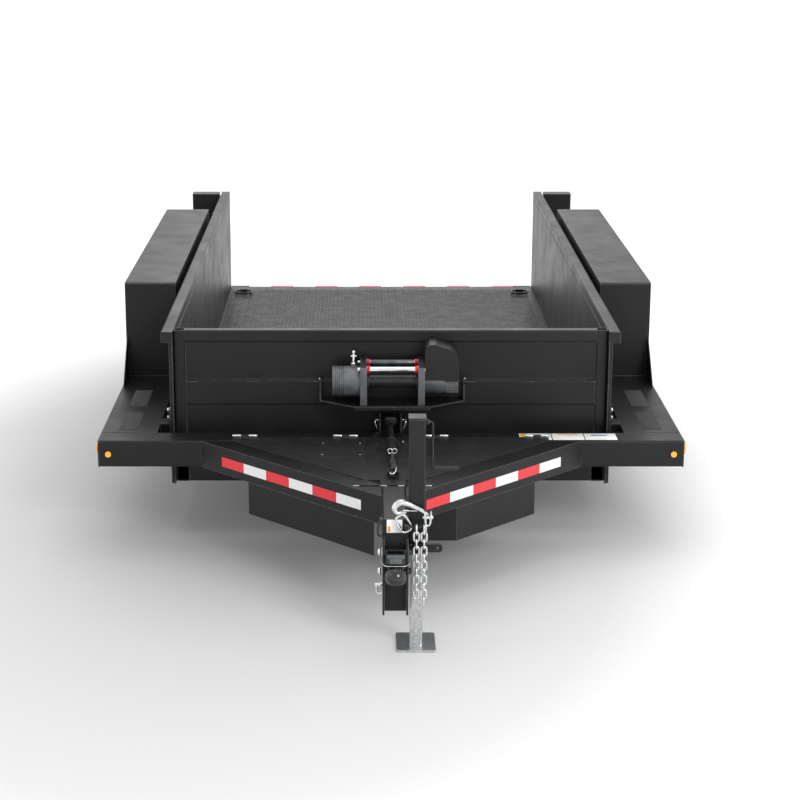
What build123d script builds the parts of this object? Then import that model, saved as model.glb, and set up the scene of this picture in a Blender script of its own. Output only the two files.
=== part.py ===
from build123d import *
from math import cos, radians, sin, sqrt, tan
import os

# Drop-deck utility trailer: millimetres, +X to the trailer's side, tongue towards -Y, +Z up.
# Lengths along Y are laid out from the front face of the cross beam, then the whole
# trailer is shifted so that the origin is on the ground under the middle of its box.

# ---- driving dimensions ------------------------------------------------------------
overall_width = 2590          # over the side rails, the widest legal trailer
beam_depth = 139
beam_height = 120
beam_top = 510
tube_wall = 6
corner_radius = 10            # rolled corners of the hollow sections
sheet = 4                     # folded and welded sheet
thin_sheet = 3
deck_length = 3921            # tread plate, from the bulkhead's face to the rear sill
deck_inner_width = 1944       # between the side walls
deck_floor_top = 336
floor_plate = 4
deck_frame_depth = 79
deck_tube_wall = 4
bulkhead_front = 231          # its face, behind the face of the cross beam
wall_overhang = 45            # how far the side walls reach in front of the bulkhead
wall_top = 960
wall_cap_width = 51
wall_cap_height = 50
wall_depth = 18               # panel and its stiffeners
bulkhead_top = 957
bulkhead_post = 51
bulkhead_depth = 51
mid_rail_bottom = 612
mid_rail_top = 728
rail_width = 250              # stepping rail beside the deck
rail_tube_width = 50
fender_front = 1153
fender_length = 2186
fender_top = 983
fender_gusset_height = 209
fender_gusset_length = 215
wheel_pitch = 880
wheel_height = 350            # wheel centres above the ground
tyre_radius = 350
tyre_width = 178
tyre_wall = 14
rim_radius = 190
rim_wall = 5
arm_length = 120
spindle_radius = 20
bearing_gap = 0.05
pivot_back = 324              # deck pivot, behind the face of the cross beam
pivot_height = 450
pivot_pin_radius = 16
post_depth = 102
post_width = 170
post_bottom = 190
post_gap = 10                 # between the deck wall's cap and the rear post
lift_rod_radius = 16
lift_barrel_radius = 28
lift_bore_radius = 24
lift_height = 740             # lug on the deck at rest
lift_stroke = 240
sill_depth = 48
tongue_half_width = 839       # where the 45 degree beams leave the cross beam
tongue_beam_width = 100
nose_width = 100
nose_length = 1149            # centre beam, in front of the cross beam
lid_rear = 50
lid_sheet = 4
lid_inner = 120
hinge_barrel = 6
hinge_pin = 3.5
lid_open = 75
box_bottom = 246
box_rear = 220
left_box_inner = 79
right_box_inner = 133
right_box_front = 574
coupler_channel_bottom = 162
nose_plate_top = 538          # the channel's web stands above the centre beam
coupler_channel_depth = 56
coupler_channel_wall = 8
ball_radius = 29.4            # 2 5/16 inch ball
socket_gap = 0.5
socket_shell = 11
ball_forward = 88             # ball centre in front of the channel's web
ball_height = 330
coupler_half_width = 38
coupler_bolt_radius = 8
jack_tube = 64
jack_wall = 5
jack_front = 1146
jack_top = 935
jack_leg = 50
jack_leg_wall = 4
jack_foot = 154
jack_foot_depth = 186
jack_foot_back = 20           # the foot's middle, behind the leg's
jack_foot_plate = 10
jack_stroke = 140
crank_height = 912
crank_drop = 185
crank_rod = 4.5
crank_reach = 27              # from the jack's tube to the crank's long run
crank_shaft_radius = 10
crank_grip = 88
winch_x = 7
tray_height = 644
tray_rear_width = 648
tray_front_width = 330
tray_depth = 171
tray_flange = 98
winch_axis_back = 145         # drum axis, behind the face of the cross beam
winch_axis_height = 747
drum_radius = 30
drum_flange_radius = 54
drum_length = 224
support_thickness = 28
motor_radius = 67
motor_length = 124
gearbox_radius = 54
gearbox_length = 88
end_cap_radius = 42
end_cap_length = 62
end_cap_drop = 12             # the ribbed cap sits below the drum's axis
tie_bar_radius = 15           # front one
rear_bar_radius = 13
clutch_rod = 5
control_depth = 135
lock_height = 553
lock_back = 196
lock_length = 762
chain_wire = 8
link_length = 46
link_width = 28
ring_wire = 11
ring_width = 115
running_gap = 0.4             # between parts that slide past each other
lamp_radius = 13
tape_height = 43
tape_length = 143
tape_thickness = 1
tape_start = 141              # from the cross beam's corner to the first piece
tape_drop = 43                # from the beam's top

# ---- worked out --------------------------------------------------------------------
half_width = overall_width / 2
beam_bottom = beam_top - beam_height
deck_half = deck_inner_width / 2
deck_rear = bulkhead_front + deck_length
deck_bottom = deck_floor_top - floor_plate - deck_frame_depth
wall_front = bulkhead_front - wall_overhang
cap_outer = deck_half + wall_cap_width
rail_inner = half_width - rail_width
rail_tube_outer = rail_inner + rail_tube_width
fender_rear = fender_front + fender_length
wheel_middle = (fender_front + fender_rear) / 2
tyre_inner = rail_tube_outer + 12
tyre_outer = tyre_inner + tyre_width
tyre_middle = (tyre_inner + tyre_outer) / 2
post_inner = cap_outer + post_gap
post_outer = post_inner + post_width
post_front = deck_rear - post_depth
rail_end = post_front         # the rails stop against the rear posts
post_middle = (post_inner + post_outer) / 2
post_middle_y = post_front + post_depth / 2
channel_face = -nose_length
ball_y = channel_face - ball_forward
front_end = ball_y - ball_radius - socket_gap - socket_shell
rear_end = deck_rear + sill_depth
shift_y = -(front_end + rear_end) / 2
slant = tongue_beam_width * sqrt(2)


# ---- small makers ------------------------------------------------------------------
def block(x0, x1, y0, y1, z0, z1):
    """Box between two corners."""
    return Pos((x0 + x1) / 2, (y0 + y1) / 2, (z0 + z1) / 2) * Box(x1 - x0, y1 - y0, z1 - z0)


def bar_x(x0, x1, y, z, r):
    return Pos((x0 + x1) / 2, y, z) * Rot(0, 90, 0) * Cylinder(r, x1 - x0)


def bar_y(y0, y1, x, z, r):
    return Pos(x, (y0 + y1) / 2, z) * Rot(90, 0, 0) * Cylinder(r, y1 - y0)


def bar_z(z0, z1, x, y, r):
    return Pos(x, y, (z0 + z1) / 2) * Cylinder(r, z1 - z0)


def plan(points, z0, z1):
    """Flat outline in X and Y, raised from z0 to z1."""
    face = make_face(Polyline(*[(x, y, z0) for x, y in points], close=True))
    return extrude(face, z1 - z0, dir=(0, 0, 1))


def side(points, x0, x1):
    """Flat outline in Y and Z, raised from x0 to x1."""
    face = make_face(Polyline(*[(x0, y, z) for y, z in points], close=True))
    return extrude(face, x1 - x0, dir=(1, 0, 0))


def rolled(outer, bore, along, wall):
    """Hollow section from its outer and inner blocks, with rolled corners along one axis."""
    corner = min(corner_radius, 1.8 * wall)
    outer = fillet(outer.edges().filter_by(along), corner)
    return outer - fillet(bore.edges().filter_by(along), max(corner - wall, 0.6))


def tube_x(x0, x1, y0, y1, z0, z1, wall):
    return rolled(block(x0, x1, y0, y1, z0, z1),
                  block(x0 - 1, x1 + 1, y0 + wall, y1 - wall, z0 + wall, z1 - wall), Axis.X, wall)


def tube_y(x0, x1, y0, y1, z0, z1, wall):
    return rolled(block(x0, x1, y0, y1, z0, z1),
                  block(x0 + wall, x1 - wall, y0 - 1, y1 + 1, z0 + wall, z1 - wall), Axis.Y, wall)


def tube_z(x0, x1, y0, y1, z0, z1, wall):
    return rolled(block(x0, x1, y0, y1, z0, z1),
                  block(x0 + wall, x1 - wall, y0 + wall, y1 - wall, z0 - 1, z1 + 1), Axis.Z, wall)


def flip(shape):
    """The same piece on the other side of the trailer."""
    return mirror(shape, Plane.YZ)


def both(shape):
    return [shape, flip(shape)]


def hex_x(x0, x1, y, z, across):
    """Bolt head or nut along X."""
    prism = extrude(RegularPolygon(across / 2, 6, major_radius=False), x1 - x0)
    return Pos(x0, y, z) * Rot(0, 90, 0) * prism


def hex_z(z0, z1, x, y, across):
    prism = extrude(RegularPolygon(across / 2, 6, major_radius=False), z1 - z0)
    return Pos(x, y, z0) * prism


def bent_rod(points, bends, r):
    """Round rod along straight runs joined by tangent arcs."""
    path = FilletPolyline(*points, radius=bends)
    start = Plane(origin=path @ 0, z_dir=path % 0)
    return sweep(start * Circle(r), path=path)


def link(x, y, z, length, width, wire, turn=0, tip=0):
    """One chain link, long way up, turned about Z and then leaned about X."""
    straight = length - width
    ends = width / 2 - wire / 2
    half = Pos(0, 0, straight / 2) * Rot(90, 0, 0) * Torus(ends, wire / 2)
    half = half & block(-width, width, -width, width, straight / 2, length)
    rods = bar_z(-straight / 2, straight / 2, ends, 0, wire / 2) + \
        bar_z(-straight / 2, straight / 2, -ends, 0, wire / 2)
    ring = half + mirror(half, Plane.XY) + rods
    return Pos(x, y, z) * Rot(tip, 0, 0) * Rot(0, 0, turn) * ring


pieces = {}


def keep(name, *shapes):
    """Add solids to a node, which later calls with the same name extend."""
    for shape in shapes:
        for piece in shape if isinstance(shape, list) else [shape]:
            pieces.setdefault(name, []).extend(piece.solids())


# ---- cross beam, tongue beams and centre beam ---------------------------------------
keep("cross_beam", tube_x(-half_width + tube_wall, half_width - tube_wall,
                          0, beam_depth, beam_bottom, beam_top, tube_wall))
end_cap = block(half_width - tube_wall, half_width, 0, beam_depth, beam_bottom, beam_top)
keep("cross_beam", both(end_cap))

nose_half = nose_width / 2
keep("centre_beam", tube_y(-nose_half, nose_half, -nose_length, 0, beam_bottom, beam_top, tube_wall))

# A tongue beam runs at 45 degrees from the cross beam to the side of the centre beam.
beam_outer = [(tongue_half_width, 0), (nose_half, nose_half - tongue_half_width)]
beam_outline = [beam_outer[0], (tongue_half_width - slant, 0),
                (nose_half, nose_half - tongue_half_width + slant), beam_outer[1]]
wall_slant = tube_wall * sqrt(2)
hollow = [(tongue_half_width - wall_slant, 1), (tongue_half_width - slant + wall_slant, 1),
          (nose_half - 1, nose_half - 1 - tongue_half_width + slant - wall_slant),
          (nose_half - 1, nose_half - 1 - tongue_half_width + wall_slant)]
tongue_solid = plan(beam_outline, beam_bottom, beam_top)
tongue_beam = tongue_solid - plan(hollow, beam_bottom + tube_wall, beam_top - tube_wall)
keep("tongue_beam_right", tongue_beam)
keep("tongue_beam_left", flip(tongue_beam))

# ---- tongue plate, lids and boxes ---------------------------------------------------
strip_half = lid_inner - running_gap
strip_end = tongue_half_width - slant - nose_half
strip_side = strip_end - (strip_half - nose_half)
strip_outline = [(-strip_half, lid_rear), (strip_half, lid_rear), (strip_half, -strip_side),
                 (nose_half, -strip_end), (-nose_half, -strip_end), (-strip_half, -strip_side)]
strip = plan(strip_outline, beam_top, beam_top + lid_sheet)
keep("tongue_plate", strip,
     [hex_z(beam_top + lid_sheet, beam_top + lid_sheet + 7, x, -90, 16) for x in (-60, 60)])

lid_edge = tongue_half_width - slant
lid_outline = [(lid_inner, lid_rear), (lid_edge, lid_rear), (lid_edge, 0), (lid_inner, lid_inner - lid_edge)]
hinge_y = lid_rear + hinge_barrel + 2
hinge_z = beam_top + hinge_barrel + 1
hinge_xs = [lid_inner + 80, lid_edge - 50]
hinge_length = 100
lid = plan(lid_outline, beam_top, beam_top + lid_sheet)
leaf_gap = 0.5
lid_parts = [lid]
hinge_fixed = []
for x in hinge_xs:
    third = hinge_length / 3
    knuckles = bar_x(x - third / 2, x + third / 2, hinge_y, hinge_z, hinge_barrel)
    leaf = block(x - third / 2, x + third / 2, lid_rear - 12, hinge_y, beam_top + lid_sheet, hinge_z - 1)
    lid_parts.append((knuckles + leaf) - bar_x(x - third, x + third, hinge_y, hinge_z, hinge_pin + 0.05))
    for e in (-1, 1):
        a, b = sorted((x + e * (third / 2 + leaf_gap), x + e * hinge_length / 2))
        cheek = bar_x(a, b, hinge_y, hinge_z, hinge_barrel) + \
            block(a, b, hinge_y, hinge_y + 24, beam_top, beam_top + 3)
        hinge_fixed.append(cheek - bar_x(a - 1, b + 1, hinge_y, hinge_z, hinge_pin))
    hinge_fixed.append(bar_x(x - hinge_length / 2, x + hinge_length / 2, hinge_y, hinge_z, hinge_pin))
keep("tongue_lid_right", lid_parts)
keep("tongue_lid_left", [flip(p) for p in lid_parts])
keep("tongue_plate", hinge_fixed, [flip(p) for p in hinge_fixed])
cover = block(-310, -124, -264, -64, beam_top + lid_sheet, beam_top + 2 * lid_sheet)
cover_bolts = [hex_z(beam_top + 2 * lid_sheet, beam_top + 2 * lid_sheet + 6, x, y, 14)
               for x in (-298, -136) for y in (-252, -76)]
keep("tongue_lid_left", cover, cover_bolts)


def hung_box(outline, inset):
    """Open-topped sheet box under the tongue, notched round the slanting beam."""
    walls = plan(outline, box_bottom, beam_top) - plan(inset, box_bottom + thin_sheet, beam_top + 1)
    return walls - tongue_solid


def slanted(x_inner, y_rear, y_front, edge):
    """Outline whose outer side follows the beam: edge is where that side meets the beam's root."""
    tip = edge + y_front
    if tip > x_inner:
        return [(x_inner, y_rear), (edge + y_rear, y_rear), (tip, y_front), (x_inner, y_front)]
    return [(x_inner, y_rear), (edge + y_rear, y_rear), (x_inner, x_inner - edge)]


t = thin_sheet
left_outline = slanted(left_box_inner, -box_rear, -tongue_half_width, tongue_half_width)
left_inset = slanted(left_box_inner + t, -box_rear - t, -tongue_half_width, tongue_half_width - t * sqrt(2))
right_outline = slanted(right_box_inner, -box_rear, -right_box_front, tongue_half_width)
right_inset = slanted(right_box_inner + t, -box_rear - t, -right_box_front + t, tongue_half_width - t * sqrt(2))
keep("battery_box", flip(hung_box(left_outline, left_inset)))
keep("tool_box", hung_box(right_outline, right_inset))

floor_in = box_bottom + thin_sheet
battery = block(-262, -92, -420, -250, floor_in, floor_in + 200)
posts = [bar_z(floor_in + 200, floor_in + 220, x, -280, 9) for x in (-235, -119)]
keep("power_unit", battery, posts)
pump_tank = block(170, 300, -430, -240, floor_in, floor_in + 132)
pump_motor = bar_x(300, 430, -300, floor_in + 56, 52)
valve = block(300, 340, -400, -362, floor_in, floor_in + 60)
keep("power_unit", pump_tank, pump_motor, valve)

# ---- side rails ---------------------------------------------------------------------
rail_start = beam_depth
rail_plate = block(rail_inner, half_width, rail_start, rail_end, beam_top - tube_wall, beam_top)
wheel_bay = block(rail_tube_outer, half_width + 1, fender_front + sheet, fender_rear - sheet,
                  beam_top - tube_wall - 1, beam_top + 1)
rail_tube = tube_y(rail_inner, rail_tube_outer, rail_start, rail_end, beam_bottom, beam_top - tube_wall, tube_wall)
lips = [block(half_width - tube_wall, half_width, y0, y1, beam_bottom, beam_top - tube_wall)
        for y0, y1 in ((rail_start, fender_front + sheet), (fender_rear - sheet, rail_end))]
rail_solids = [rail_plate - wheel_bay, rail_tube] + lips
for y in (fender_front - 3 * sheet, fender_rear + 2 * sheet, rail_end - sheet):
    rail_solids.append(block(rail_tube_outer, half_width - tube_wall, y, y + sheet, beam_bottom, beam_top - tube_wall))
keep("side_rail_right", rail_solids)
keep("side_rail_left", [flip(p) for p in rail_solids])

# ---- fenders ------------------------------------------------------------------------
fender = block(rail_inner, half_width, fender_front, fender_rear, beam_top, fender_top)
fender = fillet(fender.edges().filter_by(Axis.X).group_by(Axis.Z)[-1], 12)
fender -= block(rail_inner + sheet, half_width - sheet, fender_front + sheet, fender_rear - sheet,
                beam_top - 1, fender_top - sheet)
arch_foot = 150
arch_top = 790
arch = side([(fender_front + arch_foot, beam_top - 1), (fender_front + arch_foot, arch_top - 160),
             (fender_front + arch_foot + 200, arch_top), (fender_rear - arch_foot - 200, arch_top),
             (fender_rear - arch_foot, arch_top - 160), (fender_rear - arch_foot, beam_top - 1)],
            half_width - sheet - 1, half_width + 1)
fender -= arch
gusset = side([(fender_front, beam_top + fender_gusset_height), (fender_front, beam_top),
               (fender_front - fender_gusset_length, beam_top)], half_width - 2 * sheet, half_width - sheet)
rear_gusset = side([(fender_rear, beam_top + fender_gusset_height), (fender_rear, beam_top),
                    (fender_rear + fender_gusset_length, beam_top)], half_width - 2 * sheet, half_width - sheet)
keep("fender_right", fender, gusset, rear_gusset)
keep("fender_left", flip(fender), flip(gusset), flip(rear_gusset))

# ---- rear posts and lift cylinders --------------------------------------------------
slot_bottom = lift_height - lift_stroke - 45
slot_top = lift_height + 45
post = tube_z(post_inner, post_outer, post_front, deck_rear, post_bottom, wall_top - sheet, sheet)
post += block(post_inner, post_outer, post_front, deck_rear, wall_top - sheet, wall_top)
post += block(post_inner, post_outer, post_front, deck_rear, post_bottom, post_bottom + sheet)
post -= block(post_inner - 1, post_inner + sheet + 1, post_front + 12, deck_rear - 12, slot_bottom, slot_top)
keep("rear_post_right", post)
keep("rear_post_left", flip(post))

cylinder_x = post_middle + 30
eye_radius = 20
eye_gap = 2
barrel_top = lift_height - lift_stroke - eye_radius - eye_gap
barrel = bar_z(post_bottom + sheet, barrel_top, cylinder_x, post_middle_y, lift_barrel_radius) - \
    bar_z(post_bottom + sheet + 10, barrel_top - 16, cylinder_x, post_middle_y, lift_bore_radius) - \
    bar_z(barrel_top - 17, barrel_top + 1, cylinder_x, post_middle_y, lift_rod_radius + bearing_gap)
barrel_y = post_middle_y
keep("rear_post_right", barrel)
keep("rear_post_left", flip(barrel))
rod_foot = barrel_top - 31
piston = bar_z(rod_foot - 4, rod_foot + 14, cylinder_x, barrel_y, lift_bore_radius - 0.3)
lift_pin_radius = 11
lift_rod = bar_z(rod_foot, lift_height - 12, cylinder_x, barrel_y, lift_rod_radius) + piston + \
    bar_x(cylinder_x - 14, cylinder_x + 14, barrel_y, lift_height, eye_radius)
lift_pin = bar_x(cap_outer - 22, cylinder_x + 20, barrel_y, lift_height, lift_pin_radius)
keep("lift_rod_right", lift_rod - lift_pin, lift_pin)
keep("lift_rod_left", flip(lift_rod - lift_pin), flip(lift_pin))

# ---- suspension and wheels ----------------------------------------------------------
axle_ys = [wheel_middle - wheel_pitch / 2, wheel_middle + wheel_pitch / 2]
housing_size = 76
housing_half = housing_size / 2
arm_plate = 22
arm_inner = tyre_inner + 6
for side_name in ("right", "left"):
    turn = (lambda s: s) if side_name == "right" else flip
    housings = []
    for y in axle_ys:
        pivot = y - arm_length
        tube = block(rail_inner - 40, rail_tube_outer, pivot - housing_half, pivot + housing_half,
                     wheel_height - housing_half, wheel_height + housing_half)
        tube -= bar_x(rail_inner - 20, rail_tube_outer + 1, pivot, wheel_height, 25 + bearing_gap)
        saddle = block(rail_inner - 30, rail_tube_outer, pivot - 60, pivot + 60,
                       wheel_height + housing_half, beam_bottom)
        housings += [turn(tube), turn(saddle)]
    keep("torsion_housings", housings)

hub_outer = tyre_middle + 42
for axle_name, y in (("front", axle_ys[0]), ("rear", axle_ys[1])):
    pivot = y - arm_length
    shaft = bar_x(rail_inner - 19, arm_inner, pivot, wheel_height, 25)
    boss = bar_x(arm_inner, arm_inner + arm_plate, pivot, wheel_height, 36) + \
        bar_x(arm_inner, arm_inner + arm_plate, y, wheel_height, 34) + \
        block(arm_inner, arm_inner + arm_plate, pivot, y, wheel_height - 30, wheel_height + 30)
    spindle = bar_x(arm_inner + arm_plate, hub_outer - 10, y, wheel_height, spindle_radius)
    arm = shaft + boss + spindle
    # Steel disc wheel: barrel, beads, dished disc, hub and five nuts.
    hub = bar_x(arm_inner + arm_plate + 4, hub_outer, y, wheel_height, 42) - \
        bar_x(arm_inner + arm_plate + 3, hub_outer - 8, y, wheel_height, spindle_radius + bearing_gap)
    disc_x = tyre_middle + 18
    disc = bar_x(disc_x, disc_x + 7, y, wheel_height, rim_radius - rim_wall) - \
        bar_x(disc_x - 1, disc_x + 8, y, wheel_height, 42)
    for k in range(8):
        a = radians(45 * k)
        disc -= bar_x(disc_x - 1, disc_x + 8, y + 128 * cos(a), wheel_height + 128 * sin(a), 17)
    flange = bar_x(disc_x - 12, disc_x, y, wheel_height, 75) - \
        bar_x(disc_x - 13, disc_x + 1, y, wheel_height, 42)
    rim_barrel = bar_x(tyre_inner + 8, tyre_outer - 8, y, wheel_height, rim_radius) - \
        bar_x(tyre_inner + 7, tyre_outer - 7, y, wheel_height, rim_radius - rim_wall)
    rim_solid = rim_barrel + disc + flange
    nuts = [hex_x(disc_x + 7, disc_x + 24, y + 57 * cos(radians(60 * k)),
                  wheel_height + 57 * sin(radians(60 * k)), 22) for k in range(6)]
    half_tyre = tyre_width / 2
    shoulder = 22
    section = [(-half_tyre + 8, rim_radius), (half_tyre - 8, rim_radius), (half_tyre, rim_radius + 45),
               (half_tyre - 2, tyre_radius - 46), (half_tyre - shoulder, tyre_radius),
               (-half_tyre + shoulder, tyre_radius), (-half_tyre + 2, tyre_radius - 46),
               (-half_tyre, rim_radius + 45)]
    face = make_face(Polyline(*[(x, 0, z) for x, z in section], close=True))
    inner = [(-half_tyre + 8 + tyre_wall, rim_radius - 1), (half_tyre - 8 - tyre_wall, rim_radius - 1),
             (half_tyre - tyre_wall, rim_radius + 45), (half_tyre - 2 - tyre_wall, tyre_radius - 50),
             (half_tyre - shoulder - 6, tyre_radius - tyre_wall - 3), (-half_tyre + shoulder + 6, tyre_radius - tyre_wall - 3),
             (-half_tyre + 2 + tyre_wall, tyre_radius - 50), (-half_tyre + tyre_wall, rim_radius + 45)]
    air = make_face(Polyline(*[(x, 0, z) for x, z in inner], close=True))
    tyre = Pos(tyre_middle, y, wheel_height) * revolve(face - air, Axis.X)
    for side_name in ("right", "left"):
        turn = (lambda s: s) if side_name == "right" else flip
        end = axle_name + "_" + side_name
        keep("torsion_arm_" + end, turn(arm))
        keep("rim_" + end, turn(rim_solid), turn(hub), [turn(n) for n in nuts])
        keep("tyre_" + end, turn(tyre))

# ---- deck -----------------------------------------------------------------------------
frame_top = deck_floor_top - floor_plate
side_tube = 60
floor = block(-deck_half, deck_half, bulkhead_front, deck_rear, frame_top, deck_floor_top)
keep("deck_floor", floor)
runner = tube_y(deck_half - side_tube, deck_half, bulkhead_front, deck_rear, deck_bottom, frame_top, deck_tube_wall)
frame_parts = both(runner)
cross_count = 8
inner_half = deck_half - side_tube
for k in range(cross_count):
    y = bulkhead_front + k * (deck_length - side_tube) / (cross_count - 1)
    frame_parts.append(tube_x(-inner_half, inner_half, y, y + side_tube, deck_bottom, frame_top, deck_tube_wall))
keep("deck_frame", frame_parts)
sill = side([(deck_rear, deck_bottom + 10), (deck_rear, deck_floor_top), (rear_end, deck_floor_top),
             (rear_end, deck_floor_top - 8), (deck_rear + 8, deck_bottom + 10)], -deck_half, deck_half)
keep("deck_frame", sill)

panel_top = wall_top - wall_cap_height
cap = tube_y(deck_half, cap_outer, wall_front + sheet, deck_rear - sheet, panel_top, wall_top, deck_tube_wall)
cap_ends = [block(deck_half, cap_outer, y, y + sheet, panel_top, wall_top) for y in (wall_front, deck_rear - sheet)]
panel = block(deck_half, deck_half + sheet, wall_front, deck_rear, deck_bottom, panel_top)
stiffeners = []
stiffener_count = 6
for k in range(stiffener_count):
    y = wall_front + 12 + k * (deck_rear - wall_front - 24 - 50) / (stiffener_count - 1)
    stiffeners.append(block(deck_half + sheet, deck_half + wall_depth, y, y + 50, deck_bottom, panel_top))
base_rail = [block(deck_half + sheet, deck_half + wall_depth, wall_front + 62, deck_rear - 62,
                   deck_bottom, deck_bottom + 50)]
lug_x0 = cap_outer - 12
lug = block(lug_x0, cap_outer - 2, post_front + 8, deck_rear - 8, lift_height - 34, lift_height + 34)
slot_half = 24
lug -= block(lug_x0 - 1, cap_outer, barrel_y - slot_half - lift_pin_radius, barrel_y + slot_half + lift_pin_radius,
             lift_height - lift_pin_radius - 2, lift_height + lift_pin_radius + 2)
lug_webs = [block(deck_half + wall_depth, lug_x0, y, y + 8, lift_height - 34, lift_height + 34)
            for y in (post_front + 8, deck_rear - 16)]
wall_parts = [cap, panel] + cap_ends + stiffeners + base_rail + [lug] + lug_webs
keep("deck_wall_right", wall_parts)
keep("deck_wall_left", [flip(p) for p in wall_parts])

post_b = [tube_z(deck_half - bulkhead_post, deck_half, bulkhead_front, bulkhead_front + bulkhead_depth,
                 deck_floor_top, bulkhead_top, 4)]
post_half = deck_half - bulkhead_post
top_tube = tube_x(-post_half, post_half, bulkhead_front, bulkhead_front + bulkhead_depth,
                  bulkhead_top - 54, bulkhead_top, 4)
mid_rail = tube_x(-post_half, post_half, bulkhead_front, bulkhead_front + bulkhead_depth,
                  mid_rail_bottom, mid_rail_top, 4)
keep("bulkhead", both(post_b[0]), top_tube, mid_rail)
recess = 12
keep("bulkhead",
     block(-post_half, post_half, bulkhead_front + recess, bulkhead_front + recess + sheet,
           mid_rail_top, bulkhead_top - 54),
     block(-post_half, post_half, bulkhead_front + recess, bulkhead_front + recess + sheet,
           deck_floor_top, mid_rail_bottom))
lower_face = bulkhead_front + recess
brackets = []
for x in (-50, 44):
    brackets.append(block(x, x + 6, lock_back - 26, lower_face, lock_height - 120, lock_height + 40))
clevis_pin = bar_x(-30, 30, lock_back, lock_height, 6)
clevis = [block(x, x + 8, lock_back - 16, lower_face, lock_height - 16, lock_height + 16) for x in (-24, 16)]
clevis_hole = bar_x(-60, 60, lock_back, lock_height, 6)
keep("bulkhead", [c - clevis_hole for c in clevis], clevis_pin, brackets)

# Pivot at the front of the deck: a pin through a plate on the deck and a plate on the rail.
plate_in = deck_half + wall_depth
deck_plate = side([(pivot_back - 55, pivot_height - 50), (pivot_back + 55, pivot_height - 50),
                   (pivot_back + 40, pivot_height + 130), (pivot_back - 40, pivot_height + 130)],
                  plate_in, plate_in + 12)
pin = bar_x(plate_in, rail_inner, pivot_back, pivot_height, pivot_pin_radius)
plate_bolts = [hex_x(plate_in + 12, plate_in + 20, pivot_back, pivot_height + z, 20) for z in (76, 112)]
packer = block(deck_half + sheet, plate_in, pivot_back - 40, pivot_back + 40,
               pivot_height - 50, pivot_height + 130)
pivot_parts = [packer, deck_plate - pin, pin] + plate_bolts
keep("deck_wall_right", pivot_parts)
keep("deck_wall_left", [flip(p) for p in pivot_parts])
rail_plate_x = plate_in + 14
bearing = block(rail_plate_x, rail_inner, pivot_back - 45, pivot_back + 45, beam_bottom, beam_top) - \
    bar_x(rail_plate_x - 1, rail_inner + 1, pivot_back, pivot_height, pivot_pin_radius + bearing_gap)
keep("side_rail_right", bearing)
keep("side_rail_left", flip(bearing))

# ---- tie-down rings -------------------------------------------------------------------
ring_x = 880
ring_y = deck_rear - 187
ring_half = ring_width / 2
ring_z = deck_floor_top + 5 + ring_wire
saddle_half = 22
for side_name in ("right", "left"):
    turn = (lambda s: s) if side_name == "right" else flip
    straight_bar = bar_x(ring_x - ring_half + ring_wire, ring_x + ring_half - ring_wire, ring_y, ring_z, ring_wire / 2)
    loop = bent_rod([(ring_x - ring_half + ring_wire, ring_y, ring_z), (ring_x - ring_half, ring_y - 80, ring_z),
                     (ring_x + ring_half, ring_y - 80, ring_z), (ring_x + ring_half - ring_wire, ring_y, ring_z)],
                    34, ring_wire / 2)
    ends = [Pos(ring_x + e * (ring_half - ring_wire), ring_y, ring_z) * Sphere(ring_wire / 2) for e in (-1, 1)]
    keep("tie_ring_" + side_name, turn(straight_bar + loop + ends[0] + ends[1]))
plate = block(ring_x - 50, ring_x + 50, ring_y - 5, ring_y + 60, deck_floor_top, deck_floor_top + 5)
strap = block(ring_x - saddle_half, ring_x + saddle_half, ring_y - 13, ring_y + 22,
              deck_floor_top + 5, ring_z + ring_wire / 2 + 5)
strap -= bar_x(ring_x - 60, ring_x + 60, ring_y, ring_z, ring_wire / 2 + bearing_gap)
bolts = [hex_z(deck_floor_top + 5, deck_floor_top + 12, ring_x + e * 36, ring_y + 40, 16) for e in (-1, 1)]
keep("deck_floor", [s for p in [plate, strap] + bolts for s in both(p)])

# ---- winch ------------------------------------------------------------------------------
tray_front = bulkhead_front - tray_depth
rear_half = tray_rear_width / 2
front_half = tray_front_width / 2
tray = plan([(winch_x - rear_half, bulkhead_front), (winch_x + rear_half, bulkhead_front),
             (winch_x + rear_half, bulkhead_front - 60), (winch_x + front_half, tray_front),
             (winch_x - front_half, tray_front), (winch_x - rear_half, bulkhead_front - 60)],
            tray_height, tray_height + 6)
flange_parts = []
for e in (-1, 1):
    a, b = sorted((winch_x + e * rear_half, winch_x + e * (rear_half - 6)))
    flange_parts.append(side([(bulkhead_front, tray_height + 6), (bulkhead_front - 60, tray_height + 6),
                              (bulkhead_front - 22, tray_height + tray_flange),
                              (bulkhead_front, tray_height + tray_flange)], a, b))
front_lip = block(winch_x - front_half, winch_x + front_half, tray_front, tray_front + 6,
                  tray_height - 10, tray_height)
keep("winch_tray", tray, flange_parts, front_lip)

drum_half = drum_length / 2
axis = (winch_axis_back, winch_axis_height)
support_foot = tray_height + 6
supports = []
for e in (-1, 1):
    a, b = sorted((winch_x + e * (drum_half + 2), winch_x + e * (drum_half + 2 + support_thickness)))
    slab = side([(winch_axis_back - 68, support_foot), (winch_axis_back + 68, support_foot),
                 (winch_axis_back + 68, winch_axis_height + 95), (winch_axis_back + 10, winch_axis_height + 95),
                 (winch_axis_back - 68, winch_axis_height + 76)], a, b)
    supports.append(slab - bar_x(a - 1, b + 1, *axis, 18 + bearing_gap))
keep("winch_tray", supports)
drum = bar_x(winch_x - drum_half, winch_x + drum_half, *axis, drum_radius)
for e in (-1, 1):
    a, b = sorted((winch_x + e * drum_half, winch_x + e * (drum_half - 8)))
    drum += bar_x(a, b, *axis, drum_flange_radius)
drum += bar_x(winch_x - drum_half - 2 - support_thickness, winch_x + drum_half + 2 + support_thickness, *axis, 18)
keep("winch_drum", drum)
motor_end = winch_x - drum_half - 2 - support_thickness
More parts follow.
